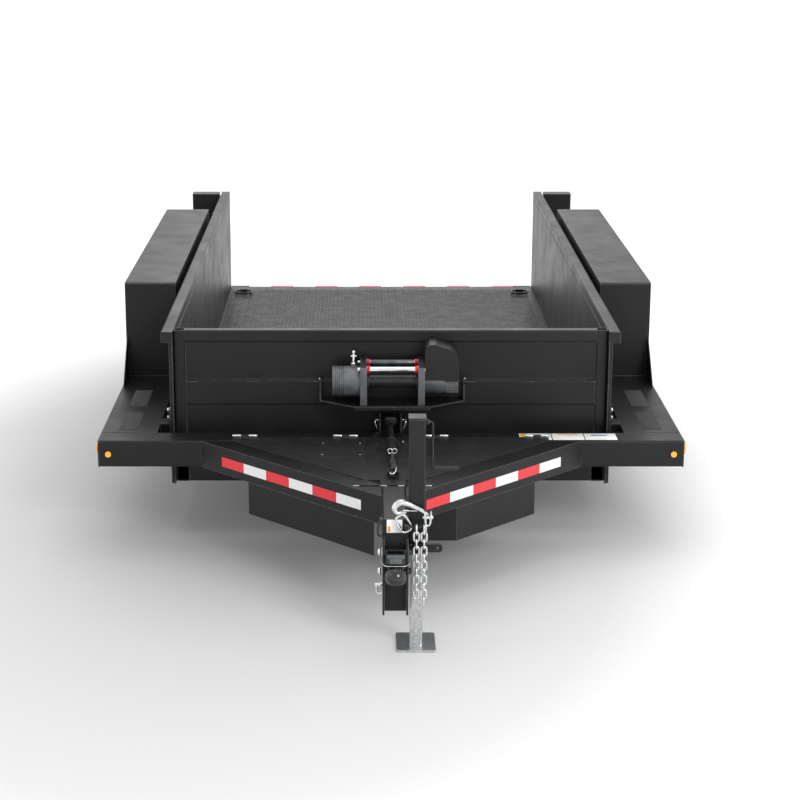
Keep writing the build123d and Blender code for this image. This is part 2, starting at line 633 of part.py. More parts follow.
motor = bar_x(motor_end - motor_length, motor_end, *axis, motor_radius)
for k in range(5):
    x = motor_end - motor_length + 10 + 9 * k
    motor -= bar_x(x, x + 4, *axis, motor_radius + 1) - bar_x(x, x + 4, *axis, motor_radius - 4)
keep("winch_motor", motor)
gear_start = winch_x + drum_half + 2 + support_thickness
gearbox = bar_x(gear_start, gear_start + gearbox_length, *axis, gearbox_radius)
keep("winch_gearbox", gearbox)
cap_axis = (winch_axis_back, winch_axis_height - end_cap_drop)
ribbed = bar_x(gear_start + gearbox_length, gear_start + gearbox_length + end_cap_length, *cap_axis, end_cap_radius)
for k in range(18):
    a = radians(20 * k)
    ribbed -= bar_x(gear_start + gearbox_length + 8, gear_start + gearbox_length + end_cap_length + 1,
                    cap_axis[0] + end_cap_radius * cos(a), cap_axis[1] + end_cap_radius * sin(a), 4)
keep("winch_gearbox", ribbed)
bars = []
collars = []
for y, z, bar_radius in ((winch_axis_back - 48, winch_axis_height + 62, tie_bar_radius),
                         (winch_axis_back + 46, winch_axis_height + 73, rear_bar_radius)):
    bars.append(bar_x(winch_x - drum_half - 2, winch_x + drum_half + 2, y, z, bar_radius))
    for e in (-1, 1):
        a, b = sorted((winch_x + e * (drum_half + 2), winch_x + e * (drum_half - 12)))
        collars.append(bar_x(a, b, y, z, bar_radius + 4) - bar_x(a - 1, b + 1, y, z, bar_radius))
keep("winch_tie_bars", bars)
keep("winch_tie_bars", collars)
# The control box wraps over the gearbox; its outline is given from the gearbox's start and the axis.
control_outline = [(1, 16), (1, 146), (8, 165), (22, 176), (48, 178), (70, 168), (118, 155), (140, 139),
                   (151, 103), (151, 16)]
control_front = winch_axis_back - 57
control_face = make_face(Polyline(*[(gear_start + x, control_front, winch_axis_height + z)
                                    for x, z in control_outline], close=True))
control = extrude(control_face, control_depth, dir=(0, 1, 0))
control -= bar_x(gear_start - 1, gear_start + gearbox_length, *axis, gearbox_radius)
control -= bar_x(gear_start + gearbox_length - 1, gear_start + 200, *cap_axis, end_cap_radius)
keep("winch_control_box", control)
clutch_x = motor_end - 30
clutch_base = winch_axis_height + motor_radius
clutch_post = bar_z(clutch_base - 4, clutch_base + 12, clutch_x, winch_axis_back, 13)
keep("winch_motor", clutch_post - bar_x(motor_end - 60, motor_end + 1, *axis, motor_radius) -
     bar_z(clutch_base + 4, clutch_base + 30, clutch_x, winch_axis_back, clutch_rod + bearing_gap))
clutch = bar_z(clutch_base + 4, clutch_base + 62, clutch_x, winch_axis_back, clutch_rod) + \
    Pos(clutch_x, winch_axis_back, clutch_base + 64) * Sphere(8) + \
    bar_z(clutch_base + 13, clutch_base + 18, clutch_x, winch_axis_back, 14) + \
    bar_x(clutch_x - 12, clutch_x + 12, winch_axis_back, clutch_base + 46, 3.5)
keep("winch_clutch_lever", clutch)

# ---- deck lock: turnbuckle from the bulkhead to the tongue ---------------------------------
lock_front = lock_back - lock_length
fork = block(-14, 14, lock_back - 60, lock_back + 14, lock_height - 12, lock_height + 12) - \
    bar_x(-20, 20, lock_back, lock_height, 6 + bearing_gap)
rod = bar_y(lock_back - 330, lock_back - 60, 0, lock_height, 10)
barrel_lock = bar_y(lock_back - 520, lock_back - 330, 0, lock_height, 17)
lock_tail = bar_y(lock_front + 52, lock_back - 520, 0, lock_height, 8)
collar = bar_y(lock_back - 345, lock_back - 335, 0, lock_height, 21)
keep("lock_link", fork + rod + barrel_lock + lock_tail + collar)
hook_y = lock_front + 20
hook_body = side([(lock_front + 60, lock_height - 10), (lock_front + 60, lock_height + 10),
                  (lock_front - 8, lock_height + 10), (lock_front - 8, lock_height - 30),
                  (lock_front + 6, lock_height - 30), (lock_front + 6, lock_height - 10)], -9, 9)
keep("lock_link", hook_body - bar_y(lock_front + 50, lock_front + 70, 0, lock_height, 8))
eye_z = beam_top + 18
cheeks = [block(x, x + 6, lock_front + 8, lock_front + 50, beam_top, eye_z + 14) for x in (-26, 20)]
cross = bar_x(-26, 26, hook_y + 10, eye_z, 7)
keep("tongue_plate", [c - cross for c in cheeks], cross)
clip_pins = []
for e in (-1, 1):
    clip_pins.append(bar_x(*sorted((e * 50, e * 66)), lock_back, lock_height, 9))
keep("bulkhead", clip_pins)

# ---- coupler ----------------------------------------------------------------------------------
web_front = channel_face - coupler_channel_wall
flange_front = channel_face - coupler_channel_depth
channel = block(-nose_half, nose_half, web_front, channel_face, coupler_channel_bottom, nose_plate_top)
for e in (-1, 1):
    a, b = sorted((e * nose_half, e * (nose_half - coupler_channel_wall)))
    channel += block(a, b, flange_front, web_front, coupler_channel_bottom, beam_top - 40)
bolt_y = channel_face - 32
bolt_zs = (ball_height + 5, ball_height + 82)
for z in bolt_zs:
    channel -= bar_x(-nose_half - 1, nose_half + 1, bolt_y, z, coupler_bolt_radius)
for k in range(4):
    channel -= bar_x(-nose_half - 1, nose_half + 1, bolt_y, coupler_channel_bottom + 22 + 32 * k, coupler_bolt_radius + 0.5)
keep("coupler_channel", channel)
shell_radius = ball_radius + socket_gap + socket_shell
body = block(-coupler_half_width, coupler_half_width, ball_y, web_front, ball_height - 12, bolt_zs[1] + 16)
body -= block(-coupler_half_width - 1, coupler_half_width + 1, ball_y - 1, flange_front + 2,
              ball_height + 24, bolt_zs[1] + 20)
body += Pos(0, ball_y, ball_height) * Sphere(shell_radius)
body -= block(-80, 80, ball_y - 80, web_front - 1, ball_height - 80, ball_height - 22)
body -= Pos(0, ball_y, ball_height) * Sphere(ball_radius + socket_gap)
body -= bar_z(ball_height - 60, ball_height, 0, ball_y, ball_radius + socket_gap)
for z in bolt_zs:
    body -= bar_x(-60, 60, bolt_y, z, coupler_bolt_radius)
coupler_bolts = []
for z in bolt_zs:
    coupler_bolts.append(bar_x(-nose_half - 14, nose_half + 14, bolt_y, z, coupler_bolt_radius))
    for e in (-1, 1):
        a, b = sorted((e * nose_half, e * (nose_half + 10)))
        coupler_bolts.append(hex_x(a, b, bolt_y, z, 24) - bar_x(-80, 80, bolt_y, z, coupler_bolt_radius))
keep("coupler_channel", coupler_bolts)
latch_y = flange_front - 14
latch_z = ball_height + 58
latch_pin = bar_x(-30, 30, latch_y, latch_z, 5)
ears = [block(x, x + 5, latch_y - 9, latch_y + 9, ball_height + 24, latch_z + 9) for x in (-30, 25)]
for ear in ears:
    body += ear
keep("coupler_head", body - latch_pin, latch_pin)
latch = block(-24, 24, latch_y - 12, latch_y + 12, latch_z - 10, latch_z + 10) - \
    bar_x(-40, 40, latch_y, latch_z, 5 + bearing_gap)
latch += block(-24, 24, latch_y - 12, latch_y + 4, latch_z, latch_z + 28)
latch += block(-34, 34, latch_y - 14, latch_y + 4, latch_z + 13, latch_z + 30)
keep("coupler_latch", latch - bar_x(-40, 40, latch_y, latch_z, 5 + bearing_gap))

# ---- jack -----------------------------------------------------------------------------------------
jack_y = -jack_front + jack_tube / 2
jack_half = jack_tube / 2
jack_x0 = nose_half
jack_x = jack_x0 + jack_half
post_jack = tube_z(jack_x0, jack_x0 + jack_tube, jack_y - jack_half, jack_y + jack_half,
                   beam_bottom, jack_top - 8, jack_wall)
post_jack -= bar_x(jack_x, jack_x0 + jack_tube + 1, jack_y, crank_height, crank_shaft_radius + bearing_gap)
keep("jack_tube", post_jack)
jack_cap = block(jack_x0 - 2, jack_x0 + jack_tube + 2, jack_y - jack_half - 2, jack_y + jack_half + 2,
                 jack_top - 8, jack_top)
keep("jack_tube", jack_cap)
leg_half = jack_leg / 2
leg_top = crank_height - 200 - jack_stroke
leg = tube_z(jack_x - leg_half, jack_x + leg_half, jack_y - leg_half, jack_y + leg_half,
             jack_foot_plate, leg_top, jack_leg_wall)
foot = block(jack_x - jack_foot / 2, jack_x + jack_foot / 2, jack_y + jack_foot_back - jack_foot_depth / 2,
             jack_y + jack_foot_back + jack_foot_depth / 2, 0, jack_foot_plate)
foot = chamfer(foot.edges().filter_by(Axis.Z), 8)
guide_half = jack_half - jack_wall - running_gap
guide = tube_z(jack_x - guide_half, jack_x + guide_half, jack_y - guide_half, jack_y + guide_half,
               leg_top - 40, leg_top, guide_half - leg_half + jack_leg_wall)
keep("jack_leg", leg + guide)
keep("jack_leg", foot)
crank_x = jack_x0 + jack_tube
crank_end = crank_x + crank_reach
crank_low = crank_height - crank_drop
grip_start = crank_end + 12
crank_shaft = bar_x(jack_x + 4, crank_x + 12, jack_y, crank_height, crank_shaft_radius)
crank_bar = bent_rod([(crank_x + 6, jack_y, crank_height), (crank_end, jack_y, crank_height),
                      (crank_end, jack_y, crank_low), (grip_start + crank_grip + 4, jack_y, crank_low)],
                     10, crank_rod)
keep("jack_crank", crank_shaft + crank_bar)
grip = bar_x(grip_start, grip_start + crank_grip, jack_y, crank_low, crank_rod + 3.5) - \
    bar_x(grip_start - 4, grip_start + crank_grip + 8, jack_y, crank_low, crank_rod + bearing_gap)
keep("jack_grip", grip)

# ---- safety chains, hook and side tab ---------------------------------------------------------------
tab_z = 421
tab_half = 17
tab_reach = 132
tab_hole_radius = 5
tab = block(nose_half, nose_half + tab_reach, web_front - 6, channel_face, tab_z - tab_half, tab_z + tab_half)
tab = fillet(tab.edges().filter_by(Axis.Y).group_by(Axis.X)[-1], tab_half - 1)
tab -= bar_y(web_front - 20, channel_face + 20, nose_half + tab_reach - 19, tab_z, tab_hole_radius)
keep("chain_bracket", tab)

chain_xs = (nose_half + 29.5, nose_half + 58.5)
chain_y = web_front - 34
eye_bar = 4
eye_height = beam_top + 6
chain_pitch = link_length - 2 * chain_wire - 1
link_drop = link_length / 2 - chain_wire - eye_bar - 0.5
link_counts = (10, 11)
chain_links = [link(x, chain_y, eye_height - link_drop - k * chain_pitch, link_length, link_width,
                    chain_wire, 0 if k % 2 else 90)
               for x, count in zip(chain_xs, link_counts) for k in range(count)]
keep("safety_chain", chain_links)
eye_end = chain_xs[1] + 12
arm = block(nose_half - 14, nose_half, chain_y - eye_bar, web_front, beam_top - 2, beam_top + 14)
eye = bar_x(nose_half, eye_end, chain_y, eye_height, eye_bar) + \
    bar_x(eye_end, eye_end + 4, chain_y, eye_height, 9)
keep("chain_bracket", arm + eye)

# Grab hook standing on the end of the chains' bar, with a quick link hanging from its bowl.
hook_wire = 9
hook_y = -jack_front - hook_wire - 8
hook_x = eye_end + 2
hook_bar = bent_rod([(hook_x, chain_y, eye_height + 9.2), (hook_x, chain_y + 4, eye_height + 56),
                     (hook_x - 52, hook_y, eye_height + 92), (hook_x - 108, hook_y, eye_height + 86),
                     (hook_x - 122, hook_y, eye_height + 48), (hook_x - 84, hook_y, eye_height + 35)], 14, hook_wire)
keep("chain_hook", hook_bar)
quick_wire = 8
quick_link = Rot(0, -28, 0) * link(0, 0, 0, 78, 52, quick_wire)
keep("chain_hook", Pos(hook_x - 92, hook_y - hook_wire - quick_wire / 2 - 0.2, eye_height + 8) * quick_link)

# ---- lamps, reflectors and labels ----------------------------------------------------------------------
lamp_x = half_width - 46
front_lamp = bar_y(-8, 0, lamp_x, (beam_top + beam_bottom) / 2, lamp_radius)
keep("marker_lamps", both(front_lamp))
tail_y = deck_rear
tail = bar_y(tail_y, tail_y + 14, post_middle + 20, wall_top - 190, 52)
reverse = bar_y(tail_y, tail_y + 14, post_middle + 20, wall_top - 310, 40)
keep("tail_lamps", both(tail))
keep("tail_lamps", both(reverse))


def tape_piece(k):
    """k-th reflector along the right beam's face, counted from the cross beam."""
    s0 = tape_start + k * tape_length
    along = Vector(-cos(radians(45)), -sin(radians(45)), 0)
    out = Vector(sin(radians(45)), -cos(radians(45)), 0)
    middle = Vector(tongue_half_width, 0, 0) + along * (s0 + tape_length / 2) + out * (tape_thickness / 2)
    z = beam_top - tape_drop - tape_height / 2
    return Pos(middle.X, middle.Y, z) * Rot(0, 0, 45) * Box(tape_length, tape_thickness, tape_height)


tape_count = 6
reds = [tape_piece(k) for k in range(tape_count) if k % 2]
whites = [tape_piece(k) for k in range(tape_count) if not k % 2]
left_reds = [flip(tape_piece(k)) for k in range(tape_count) if not k % 2]
left_whites = [flip(tape_piece(k)) for k in range(tape_count) if k % 2]
keep("reflectors_red", reds, left_reds)
keep("reflectors_white", whites, left_whites)

os.makedirs("parts", exist_ok=True)
for name, solids in pieces.items():
    export_step(Pos(0, shift_y, 0) * Compound(solids), "parts/" + name + ".step")
box = (Pos(0, shift_y, 0) * Compound([s for solids in pieces.values() for s in solids])).bounding_box()
print(len(pieces), "nodes", "y shift", round(shift_y, 2))
print("size", [round(v, 1) for v in (box.size.X, box.size.Y, box.size.Z)], "min", [round(v, 1) for v in box.min])
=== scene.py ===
import math
import random

import bmesh
import bpy
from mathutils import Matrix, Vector


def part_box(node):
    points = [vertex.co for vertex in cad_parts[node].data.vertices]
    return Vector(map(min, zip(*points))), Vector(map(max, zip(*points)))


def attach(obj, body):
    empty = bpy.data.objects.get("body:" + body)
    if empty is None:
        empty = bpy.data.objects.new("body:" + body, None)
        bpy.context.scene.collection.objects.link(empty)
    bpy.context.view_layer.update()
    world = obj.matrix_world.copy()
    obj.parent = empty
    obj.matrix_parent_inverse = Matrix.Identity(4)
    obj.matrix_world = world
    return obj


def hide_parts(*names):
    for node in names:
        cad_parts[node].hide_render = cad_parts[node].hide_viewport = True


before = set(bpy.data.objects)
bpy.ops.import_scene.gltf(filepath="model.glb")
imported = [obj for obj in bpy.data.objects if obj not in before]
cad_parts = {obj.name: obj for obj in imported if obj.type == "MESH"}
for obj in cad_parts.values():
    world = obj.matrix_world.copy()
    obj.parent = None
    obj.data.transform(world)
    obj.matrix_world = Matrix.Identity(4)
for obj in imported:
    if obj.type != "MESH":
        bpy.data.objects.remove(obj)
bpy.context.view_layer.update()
mm = 0.001
random.seed(7)

# Small helpers.


def span(node):
    low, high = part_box(node)
    return Vector(low), Vector(high)


def middle(node):
    low, high = span(node)
    return (low + high) / 2


def linear(hexColour):
    parts = [int(hexColour[i:i + 2], 16) / 255 for i in (0, 2, 4)]
    return tuple(c / 12.92 if c <= 0.04045 else ((c + 0.055) / 1.055) ** 2.4 for c in parts) + (1.0,)


def addNode(tree, kind, values=None, links=None):
    node = tree.nodes.new(kind)
    for key, value in (values or {}).items():
        if key == "stops":   # a colour ramp's places and colours
            points = node.color_ramp.elements
            while len(points) < len(value):
                points.new(0.5)
            for point, (place, colour) in zip(points, value):
                point.position = place
                point.color = colour
        elif isinstance(key, int) or key in node.inputs:
            node.inputs[key].default_value = value
        else:
            setattr(node, key, value)
    for key, source in (links or {}).items():
        tree.links.new(source, node.inputs[key])
    return node


def clearSelection():
    if bpy.context.object and bpy.context.object.mode != "OBJECT":
        bpy.ops.object.mode_set(mode="OBJECT")
    bpy.ops.object.select_all(action="DESELECT")


def settle(piece, name):
    piece.name = name
    clearSelection()
    piece.select_set(True)
    bpy.context.view_layer.objects.active = piece
    bpy.ops.object.transform_apply(location=True, rotation=True, scale=True)
    return piece


def finishPiece(piece, name, material, body, angle=35):
    settle(piece, name)
    bpy.ops.object.shade_smooth_by_angle(angle=math.radians(angle))
    piece.data.materials.clear()
    piece.data.materials.append(material)
    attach(piece, body)
    return piece


def joined(parts):
    clearSelection()
    for part in parts:
        part.select_set(True)
    bpy.context.view_layer.objects.active = parts[0]
    bpy.ops.object.join()
    return parts[0]


def bevelled(piece, width, segments=2):
    mod = piece.modifiers.new("edges", "BEVEL")
    mod.width = width
    mod.segments = segments
    mod.limit_method = "ANGLE"
    clearSelection()
    piece.select_set(True)
    bpy.context.view_layer.objects.active = piece
    bpy.ops.object.modifier_apply(modifier=mod.name)
    return piece


def slab(low, high, width=0.0006):
    clearSelection()
    centre = [(a + b) / 2 for a, b in zip(low, high)]
    bpy.ops.mesh.primitive_cube_add(size=1, location=centre)
    piece = bpy.context.object
    piece.scale = [b - a for a, b in zip(low, high)]
    bpy.ops.object.transform_apply(location=False, rotation=False, scale=True)
    return bevelled(piece, width)


def rod(start, end, radius, sides=32, width=0.0006):
    clearSelection()
    start, end = Vector(start), Vector(end)
    bpy.ops.mesh.primitive_cylinder_add(vertices=sides, radius=radius, depth=(end - start).length,
                                        location=(start + end) / 2)
    piece = bpy.context.object
    piece.rotation_mode = "QUATERNION"
    piece.rotation_quaternion = (end - start).to_track_quat("Z", "Y")
    return bevelled(piece, width)


def bolt(centre, normal, size):
    base = rod(centre, Vector(centre) + Vector(normal) * size * 0.16, size * 0.62, 24, size * 0.04)
    head = rod(Vector(centre) + Vector(normal) * size * 0.16, Vector(centre) + Vector(normal) * size * 0.62,
               size * 0.5, 6, size * 0.05)
    return joined([base, head])


def bentWire(points, radius, cyclic=False, smooth=12, roundness=4, thickness=None):
    data = bpy.data.curves.new("wire", "CURVE")
    data.dimensions = "3D"
    data.bevel_depth = radius
    data.bevel_resolution = roundness
    data.use_fill_caps = True
    data.resolution_u = smooth
    line = data.splines.new("NURBS")
    line.points.add(len(points) - 1)
    for spot, co, thick in zip(line.points, points, thickness or [1] * len(points)):
        spot.co = (*co, 1)
        spot.radius = thick
    line.order_u = 3
    line.use_endpoint_u = not cyclic
    line.use_cyclic_u = cyclic
    piece = bpy.data.objects.new("wire", data)
    bpy.context.collection.objects.link(piece)
    clearSelection()
    piece.select_set(True)
    bpy.context.view_layer.objects.active = piece
    bpy.ops.object.convert(target="MESH")
    return bpy.context.object


# Materials.


def startMaterial(name):
    material = bpy.data.materials.new(name)
    material.use_nodes = True
    tree = material.node_tree
    tree.nodes.clear()
    out = addNode(tree, "ShaderNodeOutputMaterial")
    shader = addNode(tree, "ShaderNodeBsdfPrincipled")
    tree.links.new(shader.outputs[0], out.inputs["Surface"])
    spot = addNode(tree, "ShaderNodeTexCoord").outputs["Object"]
    return material, tree, shader, spot


def grey(value):
    return (value, value, value, 1)


def finishedMetal(name, look):
    material, tree, shader, spot = startMaterial(name)
    shader.inputs["Metallic"].default_value = look.get("metallic", 0)
    shader.inputs["Specular IOR Level"].default_value = look.get("sheen", 0.5)
    if "coat" in look:
        shader.inputs["Coat Weight"].default_value = look["coat"]
        shader.inputs["Coat Roughness"].default_value = look.get("coatRoughness", 0.15)
    kind, at = "ShaderNodeTexNoise", {"Vector": spot}
    broadScale = 1 / (look["broadMm"] * mm)
    patchScale = 1 / (look["broadMm"] * 0.35 * mm)
    broad = addNode(tree, kind, {"Scale": broadScale, "Detail": 4, "Roughness": 0.55}, at)
    patchy = addNode(tree, kind, {"Scale": patchScale, "Detail": 3, "Roughness": 0.55}, at)
    fine = addNode(tree, kind, {"Scale": 1 / (look["fineMm"] * mm), "Detail": 2, "Roughness": 0.55}, at)
    low, high = look["roughness"]
    shades = [(0.3, linear(look["dark"])), (0.7, linear(look["light"]))]
    colour = addNode(tree, "ShaderNodeValToRGB", {"stops": shades},
                     {"Fac": broad.outputs["Fac"]}).outputs["Color"]
    rough = addNode(tree, "ShaderNodeValToRGB", {"stops": [(0.3, grey(low)), (0.75, grey(high))]},
                    {"Fac": patchy.outputs["Fac"]}).outputs["Color"]
    rounded = addNode(tree, "ShaderNodeBevel", {"samples": 4, "Radius": look.get("edgeMm", 2) * mm})
    depth = look.get("depthMm", 0.2) * mm
    bump = addNode(tree, "ShaderNodeBump", {"Strength": look["bump"], "Distance": depth},
                   {"Height": fine.outputs["Fac"], "Normal": rounded.outputs["Normal"]})
    tree.links.new(bump.outputs["Normal"], shader.inputs["Normal"])
    if "edge" in look:   # corners painted paler: painted highlight along the edges, partly rubbing wear where hands, boots and straps pass
        plain = addNode(tree, "ShaderNodeNewGeometry").outputs["Normal"]
        turn = addNode(tree, "ShaderNodeVectorMath", {"operation": "DOT_PRODUCT"},
                       {0: plain, 1: rounded.outputs["Normal"]}).outputs["Value"]
        edgeWearAndHighlight = addNode(tree, "ShaderNodeValToRGB", {"stops": [(0.86, grey(1)), (0.985, grey(0))]},
                       {"Fac": turn})
        edgeBreakupNoise = addNode(tree, kind, {"Scale": 1 / (18 * mm), "Detail": 5, "Roughness": 0.55}, at)
        spots = addNode(tree, "ShaderNodeValToRGB", {"stops": [(0.35, grey(0.25)), (0.7, grey(1))]},
                        {"Fac": edgeBreakupNoise.outputs["Fac"]})
        broken = addNode(tree, "ShaderNodeMath", {"operation": "MULTIPLY"},
                         {0: edgeWearAndHighlight.outputs["Color"], 1: spots.outputs["Color"]})
        colour = addNode(tree, "ShaderNodeMix", {"data_type": "RGBA", 7: linear(look["edge"])},
                         {0: broken.outputs[0], 6: colour}).outputs[2]
    tree.links.new(colour, shader.inputs["Base Color"])
    tree.links.new(rough, shader.inputs["Roughness"])
    return material


# Electrostatic powder coat baked on blasted steel: satin black with a fine orange peel.
# Its pale edge colour is painted highlight along the edges, with some rubbing wear.
powderCoat = finishedMetal("powderCoatedSteel", {
    "dark": "0f0f10", "light": "161718", "edge": "7c7e81", "broadMm": 420, "fineMm": 1.6, "sheen": 0.31,
    "roughness": (0.36, 0.48), "bump": 0.22, "depthMm": 0.12, "edgeMm": 5})
# The same coat on the tongue's cover sheets, where boots have matted it.
walkedCoat = finishedMetal("walkedPowderCoat", {
    "dark": "131314", "light": "1d1d1e", "edge": "6c6d6f", "broadMm": 160, "fineMm": 1.3, "sheen": 0.32,
    "roughness": (0.44, 0.62), "bump": 0.25, "depthMm": 0.12, "edgeMm": 2})
# Rolled tread plate with a thin grey mill coat: duller than the frame and slightly dusty.
treadPlateSteel = finishedMetal("rolledTreadPlate", {
    "dark": "1f2021", "light": "2b2c2d", "edge": "6a6c6e", "broadMm": 240, "fineMm": 2.4,
    "roughness": (0.34, 0.5), "bump": 0.3, "depthMm": 0.15, "edgeMm": 1, "metallic": 0.25, "sheen": 0.4})
# Hot-dip galvanised steel: pale spangle about 12 mm across.
galvanised = finishedMetal("galvanisedSteel", {
    "dark": "a9acae", "light": "d2d4d5", "edge": "e4e5e6", "broadMm": 12, "fineMm": 3,
    "roughness": (0.28, 0.46), "bump": 0.18, "depthMm": 0.1, "edgeMm": 1, "metallic": 0.9})
# Bright zinc on forged hooks and rods.
brightZinc = finishedMetal("brightZincSteel", {
    "dark": "c3c5c8", "light": "e8e9ea", "broadMm": 26, "fineMm": 1.2,
    "roughness": (0.14, 0.28), "bump": 0.1, "depthMm": 0.08, "edgeMm": 0.6, "metallic": 1.0})
# Hard chrome over a turned bar.
hardChrome = finishedMetal("hardChrome", {
    "dark": "d6d8da", "light": "f0f1f2", "broadMm": 40, "fineMm": 0.8,
    "roughness": (0.05, 0.12), "bump": 0.04, "depthMm": 0.05, "edgeMm": 0.5, "metallic": 1.0})
# Cast iron under black enamel: rounded edges and a coarse sand skin.
enamelledCasting = finishedMetal("enamelledCasting", {
    "dark": "1a1a1b", "light": "262728", "edge": "545557", "sheen": 0.4, "broadMm": 60, "fineMm": 2.2,
    "roughness": (0.26, 0.4), "bump": 0.35, "depthMm": 0.2, "edgeMm": 2})
# Glass-filled nylon housing, moulded with a fine spark texture.
mouldedNylon = finishedMetal("mouldedNylon", {
    "dark": "0f0f10", "light": "161617", "edge": "3c3d3f", "sheen": 0.4, "broadMm": 80, "fineMm": 0.9,
    "roughness": (0.42, 0.55), "bump": 0.3, "depthMm": 0.1, "edgeMm": 3})
# Aluminium castings left bare under a thin grey wash.
greyCasting = finishedMetal("greyAluminiumCasting", {
    "dark": "4c4e50", "light": "66686b", "edge": "8a8c8f", "broadMm": 50, "fineMm": 1.8,
    "roughness": (0.34, 0.5), "bump": 0.3, "depthMm": 0.15, "edgeMm": 2, "metallic": 0.25})
# The coupler's glossier black dip, worn by the ball and the latch; its paler edges are painted highlight as
# well as wear.
dippedCasting = finishedMetal("dippedCouplerCasting", {
    "dark": "0a0a0b", "light": "101011", "edge": "606265", "broadMm": 60, "fineMm": 2.6,
    "roughness": (0.1, 0.18), "bump": 0.1, "depthMm": 0.1, "edgeMm": 3, "coat": 0.5})
# Red anodised aluminium sleeves.
redAnodised = finishedMetal("redAnodisedAluminium", {
    "dark": "b00f1a", "light": "d81824", "edge": "e0525a", "broadMm": 14, "fineMm": 0.7,
    "roughness": (0.22, 0.34), "bump": 0.08, "depthMm": 0.05, "edgeMm": 0.6, "metallic": 0.35})
# Wheel enamel: two-pack gloss over pressed steel.
wheelEnamel = finishedMetal("glossWheelEnamel", {
    "dark": "121213", "light": "191a1b", "edge": "3e3f41", "broadMm": 90, "fineMm": 1.4,
    "roughness": (0.16, 0.28), "bump": 0.08, "depthMm": 0.1, "edgeMm": 1.5, "coat": 0.4})
# Carbon-black tyre rubber with a slight bloom.
tyreRubber = finishedMetal("tyreRubber", {
    "dark": "141414", "light": "212121", "broadMm": 55, "fineMm": 1.8,
    "roughness": (0.62, 0.82), "bump": 0.35, "depthMm": 0.2, "edgeMm": 1})
# Nitrile grip and rubber grommets.
gripRubber = finishedMetal("nitrileRubber", {
    "dark": "101010", "light": "191919", "broadMm": 20, "fineMm": 0.8,
    "roughness": (0.5, 0.65), "bump": 0.3, "depthMm": 0.1, "edgeMm": 1})
# Machined steel on the power unit, the latch's face and the rear tie bar.
pumpSteel = finishedMetal("machinedPumpSteel", {
    "dark": "55585b", "light": "74777a", "broadMm": 45, "fineMm": 1.2,
    "roughness": (0.3, 0.45), "bump": 0.1, "depthMm": 0.1, "edgeMm": 1.5, "metallic": 0.8})
# Printed vinyl label stock.
labelVinyl = finishedMetal("whiteLabelVinyl", {
    "dark": "e6e6e4", "light": "f4f4f2", "broadMm": 60, "fineMm": 1.0,
    "roughness": (0.35, 0.45), "bump": 0.03, "depthMm": 0.05, "edgeMm": 0.2})
yellowVinyl = finishedMetal("yellowLabelVinyl", {
    "dark": "e0a31a", "light": "f2b526", "broadMm": 60, "fineMm": 1.0,
    "roughness": (0.35, 0.45), "bump": 0.03, "depthMm": 0.05, "edgeMm": 0.2})
orangeVinyl = finishedMetal("orangeLabelVinyl", {
    "dark": "ea7a14", "light": "f58a22", "broadMm": 60, "fineMm": 1.0,
    "roughness": (0.35, 0.45), "bump": 0.03, "depthMm": 0.05, "edgeMm": 0.2})
blueVinyl = finishedMetal("blueLabelVinyl", {
    "dark": "2a5fae", "light": "3570c4", "broadMm": 60, "fineMm": 1.0,
    "roughness": (0.35, 0.45), "bump": 0.03, "depthMm": 0.05, "edgeMm": 0.2})


def reflectiveTape(name, deepHex, paleHex):
    # Retroreflective sheeting: sealed cells about 4 mm across show as a faint net under a glossy film.
    material, tree, shader, spot = startMaterial(name)
    cells = addNode(tree, "ShaderNodeTexVoronoi", {"feature": "DISTANCE_TO_EDGE", "Scale": 1 / (4 * mm),
                                                   "Randomness": 0.0}, {"Vector": spot})
    net = addNode(tree, "ShaderNodeValToRGB", {"stops": [(0.03, grey(0)), (0.09, grey(1))]},
                  {"Fac": cells.outputs["Distance"]}).outputs["Color"]
    colour = addNode(tree, "ShaderNodeMix", {"data_type": "RGBA", 6: linear(deepHex), 7: linear(paleHex)},
                     {0: net})
    bump = addNode(tree, "ShaderNodeBump", {"Strength": 0.12, "Distance": 0.1 * mm}, {"Height": net})
    haze = addNode(tree, "ShaderNodeTexNoise", {"Scale": 1 / (30 * mm), "Detail": 3}, {"Vector": spot})
    rough = addNode(tree, "ShaderNodeValToRGB", {"stops": [(0.3, grey(0.22)), (0.7, grey(0.34))]},
                    {"Fac": haze.outputs["Fac"]})
    tree.links.new(colour.outputs[2], shader.inputs["Base Color"])
    tree.links.new(bump.outputs["Normal"], shader.inputs["Normal"])
    tree.links.new(rough.outputs["Color"], shader.inputs["Roughness"])
    shader.inputs["Coat Weight"].default_value = 0.25
    shader.inputs["Coat Roughness"].default_value = 0.12
    return material


def lens(name, deepHex, paleHex, glow):
    # Moulded polycarbonate lens with prisms 3 mm apart on its inside.
    material, tree, shader, spot = startMaterial(name)
    prisms = addNode(tree, "ShaderNodeTexWave", {"Scale": 0.314 / (3 * mm) / 2, "bands_direction": "X"},
                     {"Vector": spot}).outputs["Fac"]
    colour = addNode(tree, "ShaderNodeMix", {"data_type": "RGBA", 6: linear(deepHex), 7: linear(paleHex)},
                     {0: prisms}).outputs[2]
    haze = addNode(tree, "ShaderNodeTexNoise", {"Scale": 1 / (8 * mm), "Detail": 3}, {"Vector": spot})
    rough = addNode(tree, "ShaderNodeValToRGB", {"stops": [(0.3, grey(0.06)), (0.7, grey(0.16))]},
                    {"Fac": haze.outputs["Fac"]})
    bump = addNode(tree, "ShaderNodeBump", {"Strength": 0.4, "Distance": 0.4 * mm}, {"Height": prisms})
    tree.links.new(colour, shader.inputs["Base Color"])
    tree.links.new(colour, shader.inputs["Emission Color"])
    tree.links.new(rough.outputs["Color"], shader.inputs["Roughness"])
    tree.links.new(bump.outputs["Normal"], shader.inputs["Normal"])
    shader.inputs["Emission Strength"].default_value = glow
    shader.inputs["Coat Weight"].default_value = 0.5
    shader.inputs["Coat Roughness"].default_value = 0.05
    return material


